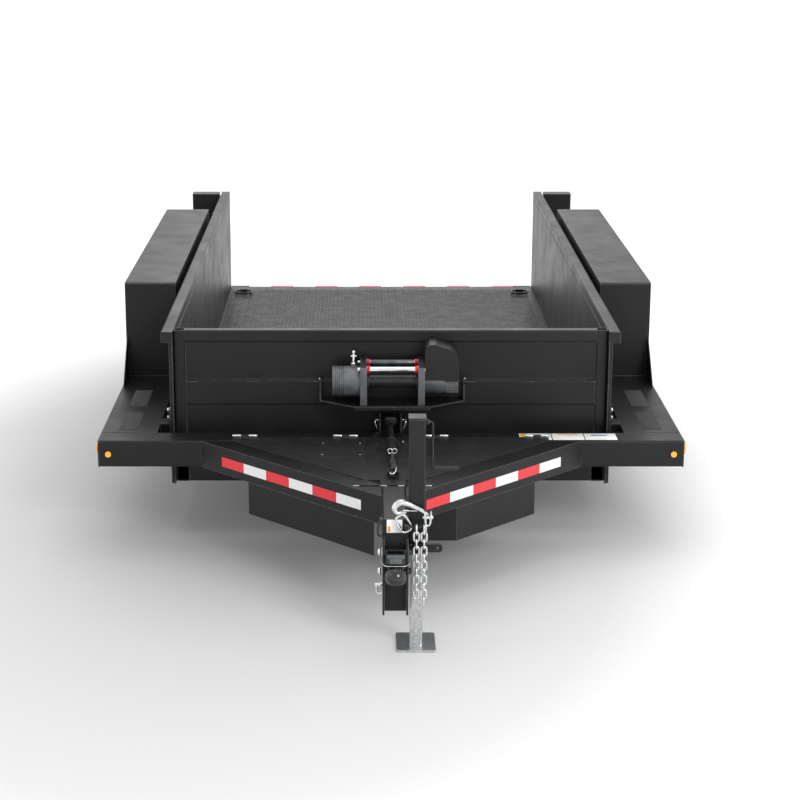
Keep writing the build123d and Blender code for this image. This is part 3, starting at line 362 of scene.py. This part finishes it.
def gritSheet(name):
    # Mineral grit on a self-adhesive sheet: grains about 1.5 mm across.
    material, tree, shader, spot = startMaterial(name)
    grains = addNode(tree, "ShaderNodeTexVoronoi", {"Scale": 1 / (1.5 * mm)},
                     {"Vector": spot}).outputs["Distance"]
    shades = [(0.1, linear("66676a")), (0.55, linear("222324"))]
    colour = addNode(tree, "ShaderNodeValToRGB", {"stops": shades}, {"Fac": grains})
    wear = addNode(tree, "ShaderNodeTexNoise", {"Scale": 1 / (25 * mm), "Detail": 3}, {"Vector": spot})
    rough = addNode(tree, "ShaderNodeValToRGB", {"stops": [(0.3, grey(0.7)), (0.7, grey(0.9))]},
                    {"Fac": wear.outputs["Fac"]})
    bump = addNode(tree, "ShaderNodeBump", {"Strength": 0.8, "Distance": 0.6 * mm}, {"Height": grains})
    tree.links.new(colour.outputs["Color"], shader.inputs["Base Color"])
    tree.links.new(rough.outputs["Color"], shader.inputs["Roughness"])
    tree.links.new(bump.outputs["Normal"], shader.inputs["Normal"])
    return material


whiteTape = reflectiveTape("whiteReflectiveSheeting", "c9cccd", "eceded")
redTape = reflectiveTape("redReflectiveSheeting", "b40f17", "e8202a")
amberLens = lens("amberPolycarbonate", "d86a08", "ffb52a", 0.5)
redLens = lens("redPolycarbonate", "5c0508", "a80f14", 0.1)
gritPad = gritSheet("gritSheet")
print("materials", len(bpy.data.materials))

# Finishes of the modelled frame.

nodeFinish = {"deck_floor": treadPlateSteel, "tongue_plate": walkedCoat, "tongue_lid_right": walkedCoat,
              "tongue_lid_left": walkedCoat, "jack_leg": galvanised, "lock_link": enamelledCasting,
              "safety_chain": brightZinc, "chain_hook": brightZinc, "marker_lamps": amberLens,
              "tail_lamps": redLens, "reflectors_red": redTape, "reflectors_white": whiteTape,
              "winch_tie_bars": hardChrome, "winch_clutch_lever": hardChrome, "lift_rod_right": hardChrome,
              "lift_rod_left": hardChrome, "winch_control_box": mouldedNylon, "winch_gearbox": greyCasting,
              "winch_motor": greyCasting, "winch_drum": enamelledCasting, "coupler_head": dippedCasting,
              "coupler_latch": enamelledCasting, "jack_grip": gripRubber, "power_unit": pumpSteel,
              "tie_ring_right": enamelledCasting, "tie_ring_left": enamelledCasting}
for node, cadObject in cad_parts.items():
    chosen = nodeFinish.get(node, powderCoat)
    if node.startswith("rim"):
        chosen = wheelEnamel
    if node.startswith("tyre"):
        chosen = tyreRubber
    for placeInList in range(max(1, len(cadObject.material_slots))):
        if not cadObject.material_slots:
            cadObject.data.materials.append(chosen)
        cadObject.material_slots[placeInList].material = chosen

# Tyres.

tyre = {"beadShare": 190 / 350, "ribs": 5, "grooveWidth": 7, "grooveDepth": 7, "lugs": 72, "sipeDepth": 5}


def makeTyre(node):
    low, high = span(node)
    centre = (low + high) / 2
    outer = (high.z - low.z) / 2
    half = (high.x - low.x) / 2
    inner = outer * tyre["beadShare"]
    # Half section from bead to crown, mirrored across the wheel's middle plane.
    shape = [(half - 8 * mm, inner), (half - 4 * mm, inner + 12 * mm), (half - 1 * mm, inner + 45 * mm),
             (half, inner + 82 * mm), (half - 4 * mm, outer - 40 * mm), (half - 9 * mm, outer - 17 * mm),
             (half - 17 * mm, outer - 4 * mm)]
    groove = tyre["grooveWidth"] * mm
    crown = []
    ribWidth = (2 * (half - 22 * mm) - (tyre["ribs"] - 1) * groove) / tyre["ribs"]
    x = half - 22 * mm
    for rib in range(tyre["ribs"]):
        top = outer - 1.2 * mm * abs(rib - (tyre["ribs"] - 1) / 2)
        crown += [(x, top), (x - ribWidth, top)]
        if rib < tyre["ribs"] - 1:
            crown += [(x - ribWidth - 1 * mm, top - tyre["grooveDepth"] * mm),
                      (x - ribWidth - groove + 1 * mm, top - tyre["grooveDepth"] * mm)]
        x -= ribWidth + groove
    section = shape + crown + [(-a, b) for a, b in reversed(shape)]
    clearSelection()
    bpy.ops.mesh.primitive_plane_add(size=1)
    piece = bpy.context.object
    mesh = bmesh.new()
    ring = [mesh.verts.new((a, 0, b)) for a, b in section]
    for a, b in zip(ring, ring[1:]):
        mesh.edges.new((a, b))
    mesh.to_mesh(piece.data)
    mesh.free()
    bpy.ops.object.mode_set(mode="EDIT")
    bpy.ops.mesh.select_all(action="SELECT")
    bpy.ops.mesh.spin(steps=tyre["lugs"] * 2, angle=math.tau, center=(0, 0, 0), axis=(1, 0, 0))
    bpy.ops.mesh.select_all(action="SELECT")
    bpy.ops.mesh.remove_doubles(threshold=0.0002)
    bpy.ops.mesh.normals_make_consistent(inside=False)
    bpy.ops.object.mode_set(mode="OBJECT")
    # Sipes: every second strip of the outer ribs is pressed in across the shoulder.
    mesh = bmesh.new()
    mesh.from_mesh(piece.data)
    mesh.faces.ensure_lookup_table()
    chosen = []
    for face in mesh.faces:
        c = face.calc_center_median()
        strip = int(round((math.atan2(c.z, c.y) % math.tau) / (math.pi / tyre["lugs"]) - 0.5))
        onRib = math.hypot(c.y, c.z) > outer - 6 * mm and abs(face.normal.x) < 0.5
        if onRib and strip % 4 == (0 if c.x > 0 else 2):
            chosen.append(face)
    bmesh.ops.inset_individual(mesh, faces=chosen, thickness=2 * mm, depth=0)
    for face in chosen:
        for vert in face.verts:
            r = math.hypot(vert.co.y, vert.co.z)
            k = (r - tyre["sipeDepth"] * mm) / r
            vert.co.y *= k
            vert.co.z *= k
    mesh.to_mesh(piece.data)
    mesh.free()
    piece.location = centre
    return piece


firstTyre = makeTyre("tyre_front_right")
for end in ("front_right", "front_left", "rear_right", "rear_left"):
    copy = firstTyre.copy()
    copy.data = firstTyre.data.copy()
    bpy.context.collection.objects.link(copy)
    copy.location = middle("tyre_" + end)
    finishPiece(copy, "tyre" + end.title().replace("_", ""), tyreRubber, "wheel_" + end, 40)
    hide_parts("tyre_" + end)
bpy.data.objects.remove(firstTyre)
print("tyres")

# Tread plate lugs on the deck.

lug = {"length": 34, "width": 9, "height": 2.2, "pitch": 46, "border": 26, "frontEdge": 51, "plate": 4}


def makeTread():
    low, high = span("deck_floor")
    top = low.z + lug["plate"] * mm
    half = high.x - lug["border"] * mm
    start = low.y + (lug["frontEdge"] + lug["border"]) * mm
    end = high.y - lug["border"] * mm
    pitch = lug["pitch"] * mm
    pair = []
    for turn, dx, dy in ((45, 0, 0), (-45, 0.5, 0.5)):
        clearSelection()
        bpy.ops.mesh.primitive_circle_add(vertices=8, radius=1, fill_type="NGON",
                                          location=(-half + dx * pitch, start + dy * pitch, top))
        one = bpy.context.object
        one.scale = (lug["length"] * mm / 2, lug["width"] * mm / 2, 1)
        one.rotation_euler = (0, 0, math.radians(turn))
        bpy.ops.object.transform_apply(location=False, rotation=True, scale=True)
        bpy.ops.object.mode_set(mode="EDIT")
        bpy.ops.mesh.select_all(action="SELECT")
        bpy.ops.mesh.extrude_region_move(TRANSFORM_OT_translate={"value": (0, 0, lug["height"] * mm)})
        bpy.ops.transform.resize(value=(0.72, 0.72, 1), center_override=one.location)
        bpy.ops.object.mode_set(mode="OBJECT")
        pair.append(one)
    piece = joined(pair)
    for axis, count in ((0, int(2 * half / pitch)), (1, int((end - start) / pitch))):
        mod = piece.modifiers.new("rows", "ARRAY")
        mod.count = count
        mod.use_relative_offset = False
        mod.use_constant_offset = True
        mod.constant_offset_displace = (pitch if axis == 0 else 0, pitch if axis == 1 else 0, 0)
        bpy.ops.object.modifier_apply(modifier=mod.name)
    finishPiece(piece, "treadLugs", treadPlateSteel, "deck", 30)


makeTread()
print("tread plate")

# Grit sheets, tape on the sill, labels.

railLow, railHigh = span("side_rail_right")
pads = {"width": 84, "fromTube": 93, "spans": ((47, 334), (436, 731)), "thick": 1.2}
for name, sign in (("Right", 1), ("Left", -1)):
    sheets = []
    for near, far in pads["spans"]:
        x0 = sign * (railHigh.x - 250 * mm + pads["fromTube"] * mm)
        x1 = x0 + sign * pads["width"] * mm
        sheets.append(slab((min(x0, x1), railLow.y + near * mm, railHigh.z),
                           (max(x0, x1), railLow.y + far * mm, railHigh.z + pads["thick"] * mm), 0.5 * mm))
    pad = finishPiece(joined(sheets), "gritPads" + name, gritPad, "chassis")

frameHigh = span("deck_frame")[1]
sill = {"piece": 143, "near": 44, "far": 4, "thick": 0.8, "count": 12}
for name, material, first, slotName in (("White", whiteTape, 0, "white_tape"),
                                        ("Red", redTape, 1, "red_tape")):
    sheets = []
    for k in range(first, sill["count"], 2):
        x0 = (k - sill["count"] / 2) * sill["piece"] * mm
        sheets.append(slab((x0, frameHigh.y - sill["near"] * mm, frameHigh.z),
                           (x0 + sill["piece"] * mm, frameHigh.y - sill["far"] * mm,
                            frameHigh.z + sill["thick"] * mm), 0.3 * mm))
    tape = finishPiece(joined(sheets), "sillTape" + name, material, "deck")

beamLow, beamHigh = span("cross_beam")
labels = {"start": 570, "width": 434, "depth": 100, "thick": 0.5}
x0, y0 = labels["start"] * mm, beamLow.y + 18 * mm
stripParts = [slab((x0 + k * labels["width"] * mm / 3 + 2 * mm, y0, beamHigh.z),
                   (x0 + (k + 1) * labels["width"] * mm / 3 - 2 * mm, y0 + labels["depth"] * mm,
                    beamHigh.z + labels["thick"] * mm), 0.2 * mm) for k in range(3)]
finishPiece(joined(stripParts), "beamLabels", labelVinyl, "chassis")
labelMarks = {"Yellow": (yellowVinyl, 6, 40, 8, 92), "Blue": (blueVinyl, 320, 392, 64, 76),
              "Orange": (orangeVinyl, 172, 262, 80, 90)}
for name, (material, a, b, near, far) in labelMarks.items():
    band = slab((x0 + a * mm, y0 + near * mm, beamHigh.z + labels["thick"] * mm),
                (x0 + b * mm, y0 + far * mm, beamHigh.z + 2 * labels["thick"] * mm), 0.1 * mm)
    finishPiece(band, "labelBand" + name, material, "chassis")
print("labels")

# Bright fasteners and small fittings over the frame.


def zincSet(name, parts, body, material=None):
    piece = finishPiece(joined(parts), name, material or brightZinc, body)
    return piece


plateTop = beamHigh.z + 4 * mm
lidHinge = {"centres": (200, 647.6), "length": 100, "barrel": 6.6, "behind": 58, "rise": 7}
knuckles = []
for sign in (1, -1):
    for place in lidHinge["centres"]:
        for end in (-1, 1):
            inner = sign * place * mm + end * lidHinge["length"] * mm / 6 + end * 0.6 * mm
            outer = sign * place * mm + end * lidHinge["length"] * mm / 2
            y, z = beamLow.y + lidHinge["behind"] * mm, beamHigh.z + lidHinge["rise"] * mm
            knuckles.append(rod((inner, y, z), (outer, y, z), lidHinge["barrel"] * mm, 24, 1 * mm))
            knuckles.append(rod((outer, y, z), (outer + end * 5 * mm, y, z), 8 * mm, 24, 2.5 * mm))
zincSet("hingeKnuckles", knuckles, "chassis")

coverBolt = {"x": (-298, -136), "y": (-252, -76), "size": 11}
parts = [bolt((x * mm, beamLow.y + y * mm, plateTop + 4 * mm), (0, 0, 1), coverBolt["size"] * mm)
         for x in coverBolt["x"] for y in coverBolt["y"]]
zincSet("coverBolts", parts, "lid_left")
stripBolt = ((-60, -90, 11), (60, -90, 11), (52, -28, 9))   # across, behind the beam's face, size
stripBolts = [bolt((x * mm, beamLow.y + y * mm, plateTop), (0, 0, 1), size * mm) for x, y, size in stripBolt]
zincSet("stripBolts", stripBolts, "chassis")

# Two small cover plates at the front of the tongue, each held by two tack welds.
frontCover = {"inner": 52, "outer": 160, "front": -653, "back": -582, "thick": 4,
              "tacks": (-152, -40, 32, 145), "tackHalf": 13, "tackDepth": 7}
covers = []
for sign in (1, -1):
    a, b = sorted((sign * frontCover["inner"] * mm, sign * frontCover["outer"] * mm))
    covers.append(slab((a, beamLow.y + frontCover["front"] * mm, beamHigh.z),
                       (b, beamLow.y + frontCover["back"] * mm, beamHigh.z + frontCover["thick"] * mm),
                       0.8 * mm))
finishPiece(joined(covers), "frontCoverPlates", walkedCoat, "chassis")
coverEdge = beamLow.y + frontCover["front"] * mm
tackHalf, tackDepth = frontCover["tackHalf"] * mm, frontCover["tackDepth"] * mm
tacks = [slab((x * mm - tackHalf, coverEdge - tackDepth, beamHigh.z - 0.5 * mm),
              (x * mm + tackHalf, coverEdge, beamHigh.z + frontCover["thick"] * mm), 2 * mm)
         for x in frontCover["tacks"]]
zincSet("coverTacks", tacks, "chassis", galvanised)

# Coupler bolts, their nuts and the wire bail over the socket's dome.
channelLow = span("coupler_channel")[0]
couplerFit = {"half": 50, "boltBehind": 24, "heights": (335, 412), "nut": 27, "wire": 1.6, "bailHalf": 56,
              "thinNut": 12, "thinNutDepth": 9, "stud": 8.4, "studLength": 19}
boltY = channelLow.y + couplerFit["boltBehind"] * mm
fasteners = []
for z in couplerFit["heights"]:
    for sign in (1, -1):
        side = sign * couplerFit["half"] * mm
        if sign > 0:   # thin nuts on this side, clear of the swinging chains
            end = side + couplerFit["thinNutDepth"] * mm
            fasteners.append(rod((side, boltY, z * mm), (end, boltY, z * mm), couplerFit["thinNut"] * mm,
                                 6, 1.5 * mm))
            continue
        end = side + sign * couplerFit["studLength"] * mm
        fasteners.append(bolt((side, boltY, z * mm), (sign, 0, 0), couplerFit["nut"] * mm))
        fasteners.append(rod((side, boltY, z * mm), (end, boltY, z * mm), couplerFit["stud"] * mm,
                             20, 1.5 * mm))
zincSet("couplerBolts", fasteners, "chassis")
latchLow = span("coupler_latch")[0]
wireY, wireZ = latchLow.y - 6 * mm, latchLow.z - 3 * mm   # low enough for the latch to open over it
wireX = couplerFit["bailHalf"] * mm
bail = bentWire([(-wireX, boltY, wireZ + 10 * mm), (-wireX, wireY, wireZ), (0, wireY - 3 * mm, wireZ),
                 (wireX, wireY, wireZ), (wireX, boltY, wireZ + 10 * mm)], couplerFit["wire"] * mm)
finishPiece(bail, "couplerBail", brightZinc, "chassis")
handle = ((24, 381, 402), (33, 401, 418))   # half width, lowest and highest of the latch's two steps
face = [slab((-half * mm, latchLow.y - 1.2 * mm, low * mm),
             (half * mm, latchLow.y + 1 * mm, high * mm), 0.8 * mm) for half, low, high in handle]
finishPiece(joined(face), "latchFace", pumpSteel, "coupler_latch")

# Plain label on the nose plate, with one orange square.
nose = {"left": -34, "right": 26, "low": 482, "high": 535, "thick": 0.6}
webFront = channelLow.y + 48 * mm
card = slab((nose["left"] * mm, webFront - nose["thick"] * mm, nose["low"] * mm),
            (nose["right"] * mm, webFront, nose["high"] * mm), 0.2 * mm)
finishPiece(card, "noseLabel", labelVinyl, "chassis")
square = slab(((nose["left"] + 4) * mm, webFront - 1.1 * mm, (nose["low"] + 4) * mm),
              ((nose["left"] + 14) * mm, webFront - nose["thick"] * mm, (nose["low"] + 26) * mm), 0.15 * mm)
finishPiece(square, "noseLabelSquare", orangeVinyl, "chassis")

# Forged grab hook: thin at the eye, thick round the bowl, drawn out to the tip.
hookHigh = span("chain_hook")[1]
grabHook = {"route": ((0, 0, 40), (-20, 12, 52), (-50, 24, 64), (-84, 28, 80), (-112, 28, 80), (-128, 28, 62),
                      (-124, 28, 42), (-104, 28, 34), (-82, 28, 42)),
            "thickness": (0.7, 0.8, 1.0, 1.25, 1.45, 1.4, 1.15, 0.9, 0.5), "radius": 9}
clevisFit = {"cheeks": ((-15, -8), (8, 15)), "half": 13, "low": 20, "high": 56,
             "pin": 6, "pinHalf": 20, "pinAt": 30}
spareLink = {"half": 10, "long": 19, "wire": 4, "places": ((0, 15, False), (-8, -12, True))}
eye = Vector((hookHigh.x - 9 * mm, channelLow.y + 14 * mm, 525 * mm))


def atEye(x, y, z):
    return eye + Vector((x, y, z)) * mm


hookParts = [bentWire([atEye(*point) for point in grabHook["route"]], grabHook["radius"] * mm, False, 16, 6,
                      grabHook["thickness"]),
             slab(atEye(-96, 24, 46), atEye(-40, 33, 50), 1 * mm)]   # the latch across the hook's mouth
for a, b in clevisFit["cheeks"]:
    hookParts.append(slab(atEye(a, -clevisFit["half"], clevisFit["low"]),
                          atEye(b, clevisFit["half"], clevisFit["high"]), 3 * mm))
hookParts.append(rod(atEye(-clevisFit["pinHalf"], 0, clevisFit["pinAt"]),
                     atEye(clevisFit["pinHalf"], 0, clevisFit["pinAt"]), clevisFit["pin"] * mm, 24, 1.5 * mm))
for x, z, turned in spareLink["places"]:
    route = []
    for k in range(10):
        t = math.tau * k / 10
        across = spareLink["half"] * math.cos(t)
        route.append(atEye(x + (0 if turned else across), (across if turned else 0) - 2,
                           z + spareLink["long"] * math.sin(t)))
    hookParts.append(bentWire(route, spareLink["wire"] * mm, cyclic=True))
hook = joined(hookParts)
finishPiece(hook, "grabHook", brightZinc, "chassis", 50)
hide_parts("chain_hook")
quick = {"half": 22, "long": 35, "wire": 4.4, "tilt": 28, "sleeve": 7.5, "sleeveHalf": 11,
         "outline": ((0, 1), (0.75, 0.95), (1, 0.5), (1, 0), (1, -0.5), (0.75, -0.95),
                     (0, -1), (-0.75, -0.95), (-1, -0.5), (-1, 0), (-1, 0.5), (-0.75, 0.95))}
ringMiddle = atEye(-92, 28 - 13.2, 0)
nutSide = Vector((math.cos(math.radians(quick["tilt"])), 0, math.sin(math.radians(quick["tilt"]))))
nutUp = Vector((-nutSide.z, 0, nutSide.x))
loop = [ringMiddle + nutSide * a * quick["half"] * mm + nutUp * b * quick["long"] * mm
        for a, b in quick["outline"]]
ring = bentWire(loop, quick["wire"] * mm, cyclic=True)
nutAt = ringMiddle - nutSide * quick["half"] * mm
reach = nutUp * quick["sleeveHalf"] * mm
sleeve = rod(nutAt - reach, nutAt + reach, quick["sleeve"] * mm, 6, 1 * mm)
zincSet("quickLink", [ring, sleeve], "chassis")
# A black wire hook and its tab on the left of the channel.
hookRoute = ((-51, 4, 531), (-58, -2, 535), (-66, -8, 515), (-70, -10, 485), (-62, -8, 467), (-51, 0, 475))
parkHooks = [bentWire([(x * mm, webFront + y * mm, z * mm) for x, y, z in hookRoute], 4 * mm),
             slab((-62 * mm, webFront - 12 * mm, 525 * mm), (-50 * mm, webFront + 20 * mm, 540 * mm), 2 * mm)]
finishPiece(joined(parkHooks), "parkHooks", powderCoat, "chassis")
shackleRoute = ((-50, 285), (-68, 283), (-76, 262), (-66, 238), (-50, 246))
shackle = bentWire([(x * mm, boltY, z * mm) for x, z in shackleRoute], 4.5 * mm)
pinEnd = rod((-50 * mm, boltY, 280 * mm), (-80 * mm, boltY, 280 * mm), 6 * mm, 20, 1.5 * mm)
zincSet("leftShackle", [shackle, pinEnd], "chassis")
print("coupler fittings")

# Winch: red sleeves at the ends of the tie bars, and bolts on the bearing supports.
barsLow, barsHigh = span("winch_tie_bars")
barAxes = ((barsLow.y + 19 * mm, barsLow.z + 19 * mm, 19.6),
           (barsHigh.y - 17 * mm, barsHigh.z - 17 * mm, 17.6))
sleeves = []
for y, z, radius in barAxes:
    for a, b in ((barsLow.x, barsLow.x + 15 * mm), (barsHigh.x - 15 * mm, barsHigh.x)):
        sleeves.append(rod((a + 0.2 * mm, y, z), (b - 0.2 * mm, y, z), radius * mm, 40, 2 * mm))
finishPiece(joined(sleeves), "tieBarSleeves", redAnodised, "deck")
trayLow, trayHigh = span("winch_tray")
supportFace = {"starts": (-136, 120), "width": 30, "near": 7, "far": 3, "low": 655, "high": 822}
facing = [slab((a * mm, barsLow.y - supportFace["near"] * mm, supportFace["low"] * mm),
               ((a + supportFace["width"]) * mm, barsLow.y - supportFace["far"] * mm,
                supportFace["high"] * mm), 1 * mm) for a in supportFace["starts"]]
finishPiece(joined(facing), "supportFaces", greyCasting, "deck")
rearY, rearZ = barAxes[1][:2]
rearSleeve = rod((barsLow.x + 16 * mm, rearY, rearZ), (barsHigh.x - 16 * mm, rearY, rearZ),
                 13.5 * mm, 40, 0.5 * mm)
finishPiece(rearSleeve, "rearBarSleeve", pumpSteel, "deck")
winchBolts = []
for sign, edge in ((-1, barsLow.x), (1, barsHigh.x)):
    for y, z, radius in barAxes:
        winchBolts.append(bolt((edge + sign * 28 * mm, y, z), (sign, 0, 0), 20 * mm))
for x in (-317, 331):
    winchBolts.append(bolt((x * mm, trayHigh.y - 18 * mm, trayLow.z + 104 * mm), (0, 0, 1), 10 * mm))
zincSet("winchBolts", winchBolts, "deck")

# Small tabs that locate the bulkhead's panel, and the welds along the fender's foot.
panelTab = {"places": (-889, -616, -348, 348, 616, 889), "half": 26, "near": 1, "far": 12,
            "low": 733, "high": 738}
bulkheadFront = span("bulkhead")[0].y
tabs = [slab(((x - panelTab["half"]) * mm, bulkheadFront + panelTab["near"] * mm, panelTab["low"] * mm),
             ((x + panelTab["half"]) * mm, bulkheadFront + panelTab["far"] * mm,
              panelTab["high"] * mm), 1 * mm) for x in panelTab["places"]]
finishPiece(joined(tabs), "panelTabs", powderCoat, "deck")
weld = {"steps": 40, "behind": 215, "radius": 3.2, "endGap": 8, "ripple": (0.5, 2.2), "rise": 1.6}
welds = []
low, high = span("fender_right")
for sign in (1, -1):
    across = []
    for k in range(weld["steps"] + 1):
        x = low.x + k / weld["steps"] * (high.x - weld["endGap"] * mm - low.x)
        y = low.y + weld["behind"] * mm - random.uniform(*weld["ripple"]) * mm
        across.append((sign * x, y, low.z + random.uniform(0, weld["rise"]) * mm))
    welds.append(bentWire(across, weld["radius"] * mm, smooth=3))
finishPiece(joined(welds), "fenderWelds", powderCoat, "chassis")
pivotBolt = {"across": 1002.5, "behind": 324, "heights": (526, 562), "size": 22}
pivotBolts = [bolt((sign * pivotBolt["across"] * mm, beamLow.y + pivotBolt["behind"] * mm, z * mm),
                   (sign, 0, 0), pivotBolt["size"] * mm)
              for sign in (1, -1) for z in pivotBolt["heights"]]
zincSet("pivotBolts", pivotBolts, "deck")
print("frame fittings")

# Deck lock: pins, rings and the sprung hook in bright zinc over the black turnbuckle.
lock = {"back": 196, "height": 553, "coils": 6, "coilRadius": 11, "wire": 2.6, "coilStart": -500,
        "clip": ((60, -10, 10), (70, -22, 4), (66, -26, -22), (56, -22, -44)),
        "tip": ((12, -500, 0), (13, -545, 2), (10, -578, -6), (-6, -590, -16), (-13, -572, -12)),
        "block": ((-19, 150, 541), (19, 190, 577))}
pinY, lockZ = beamLow.y + lock["back"] * mm, lock["height"] * mm
pins = []
for sign in (1, -1):
    pins.append(rod((sign * 50 * mm, pinY, lockZ), (sign * 70 * mm, pinY, lockZ), 9.5 * mm, 24, 2 * mm))
    pins.append(bentWire([(sign * x * mm, pinY + y * mm, lockZ + z * mm)
                          for x, y, z in lock["clip"]], 2.6 * mm))
zincSet("lockPins", pins, "deck")
ringsOnLock = []
for sign in (1, -1):
    centre = Vector((sign * 9 * mm, beamLow.y - 343 * mm, lockZ + 14 * mm))
    ringsOnLock.append(bentWire([centre + Vector((11 * mm * math.cos(a), -4 * mm, 11 * mm * math.sin(a)))
                                 for a in [math.tau * k / 8 for k in range(8)]], 2.4 * mm, cyclic=True))
coil = []
for k in range(lock["coils"] * 10):
    turn = math.tau * k / 10
    coil.append((lock["coilRadius"] * mm * math.cos(turn), beamLow.y + (lock["coilStart"] + k) * mm,
                 lockZ + lock["coilRadius"] * mm * math.sin(turn)))
spring = bentWire(coil, lock["wire"] * mm, smooth=4)
finishPiece(spring, "lockCoil", powderCoat, "deck_lock")
ringsOnLock.append(bentWire([(x * mm, beamLow.y + y * mm, lockZ + z * mm)
                             for x, y, z in lock["tip"]], 3.6 * mm))
zincSet("lockSpring", ringsOnLock, "deck_lock")
blockLow, blockHigh = [(x * mm, beamLow.y + y * mm, z * mm) for x, y, z in lock["block"]]
lockBlock = finishPiece(slab(blockLow, blockHigh, 3 * mm), "lockBlock", enamelledCasting, "deck_lock")

# Amber side markers on the ends of the cross beam, and rubber rings round the round lamps.
marker = {"radius": 31, "proud": 10, "behind": 46, "height": 467, "ring": 4,
          "frontRadius": 13, "frontRing": 16.5}
sideLenses, grommets = [], []
for sign in (1, -1):
    a = (sign * beamHigh.x, beamLow.y + marker["behind"] * mm, marker["height"] * mm)
    b = (sign * (beamHigh.x + marker["proud"] * mm), a[1], a[2])
    sideLenses.append(rod(a, b, marker["radius"] * mm, 48, 5 * mm))
    ringEnd = (a[0] + sign * 3 * mm, a[1], a[2])
    grommets.append(rod(a, ringEnd, (marker["radius"] + marker["ring"]) * mm, 48, 1.2 * mm))
finishPiece(joined(sideLenses), "sideMarkers", amberLens, "chassis")
markerLow, markerHigh = span("marker_lamps")
for sign in (1, -1):
    x, z = sign * (markerHigh.x - marker["frontRadius"] * mm), (markerLow.z + markerHigh.z) / 2
    grommets.append(rod((x, beamLow.y - marker["ring"] * mm, z), (x, beamLow.y, z), marker["frontRing"] * mm,
                        40, 1.5 * mm))
finishPiece(joined(grommets), "lampGrommets", gripRubber, "chassis")
tailLow, tailHigh = span("tail_lamps")
bezel = {"fromSide": 52, "rings": ((52, 58), (172, 46))}   # each ring's drop from the top and its radius
bezels = []
for sign in (1, -1):
    x = sign * (tailHigh.x - bezel["fromSide"] * mm)
    for z, radius in [(tailHigh.z - drop * mm, r) for drop, r in bezel["rings"]]:
        bezels.append(rod((x, tailLow.y - 0.5 * mm, z), (x, tailLow.y + 8 * mm, z), radius * mm, 48, 2 * mm))
finishPiece(joined(bezels), "tailBezels", gripRubber, "chassis")
print("lamps")

# Camera, floor and light.

camera = {"lens": 87.6, "pitch": 15.11, "x": -134, "ahead": 8239, "height": 2922, "shift": 0.0492}
data = bpy.data.cameras.new("camera")
data.lens = camera["lens"]
data.sensor_width = 36
data.shift_x = camera["shift"]
data.clip_end = 60
viewer = bpy.data.objects.new("camera", data)
viewer.location = (camera["x"] * mm, beamLow.y - camera["ahead"] * mm, camera["height"] * mm)
viewer.rotation_euler = (math.radians(90 - camera["pitch"]), 0, 0)
bpy.context.collection.objects.link(viewer)
bpy.context.scene.camera = viewer

clearSelection()
bpy.ops.mesh.primitive_plane_add(size=120, location=(0, 0, 0))
floor = bpy.context.object
floor.name = "floor"
floorPaintedShadow, tree, shader, spot = startMaterial("paleFloorWithPaintedShadow")
# Painted shadow on the floor: its colour is darker round the trailer and runs out to near white; sizes here
# are in metres.
paintedShadowZone = {"centre": (-0.7, -1.2), "reach": (2.6, 4.2),
             "shades": ((0, "fbfbfb"), (0.35, "cccccc"), (0.65, "bdbdbd"), (0.9, "a4a4a4"))}
placed = addNode(tree, "ShaderNodeMapping", {"vector_type": "TEXTURE", "Location": (*paintedShadowZone["centre"], 0),
                                             "Scale": (*paintedShadowZone["reach"], 1)}, {"Vector": spot})
near = addNode(tree, "ShaderNodeTexGradient", {"gradient_type": "SPHERICAL"},
               {"Vector": placed.outputs["Vector"]})
stops = [(place, linear(hexColour)) for place, hexColour in paintedShadowZone["shades"]]
paintedShadowRamp = addNode(tree, "ShaderNodeValToRGB", {"stops": stops}, {"Fac": near.outputs["Fac"]})
tree.links.new(paintedShadowRamp.outputs["Color"], shader.inputs["Base Color"])
shader.inputs["Emission Color"].default_value = grey(1)
shader.inputs["Emission Strength"].default_value = 0.08
shader.inputs["Roughness"].default_value = 0.9
floor.data.materials.append(floorPaintedShadow)

world = bpy.data.worlds.new("studio")
bpy.context.scene.world = world
world.use_nodes = True
world.node_tree.nodes["Background"].inputs[0].default_value = (1, 1, 1, 1)
world.node_tree.nodes["Background"].inputs[1].default_value = 1.0

lampSet = [("above", (0.4, 0.3, 7.5), (0, 0, 0), 6, 100), ("left", (-7, -4, 4.5), (0, 0, 0.5), 3, 35),
           ("front", (4.2, -9, 5), (0, -1.5, 0.5), 2.5, 330), ("behind", (0, 8, 5), (0, 1, 0.5), 4, 80)]
for name, place, target, size, power in lampSet:
    light = bpy.data.lights.new(name, "AREA")
    light.size = size
    light.energy = power
    lamp = bpy.data.objects.new(name, light)
    lamp.location = place
    lamp.rotation_euler = (Vector(target) - Vector(place)).to_track_quat("-Z", "Y").to_euler()
    bpy.context.collection.objects.link(lamp)
bpy.context.scene.view_settings.view_transform = "Standard"
print("camera and light")
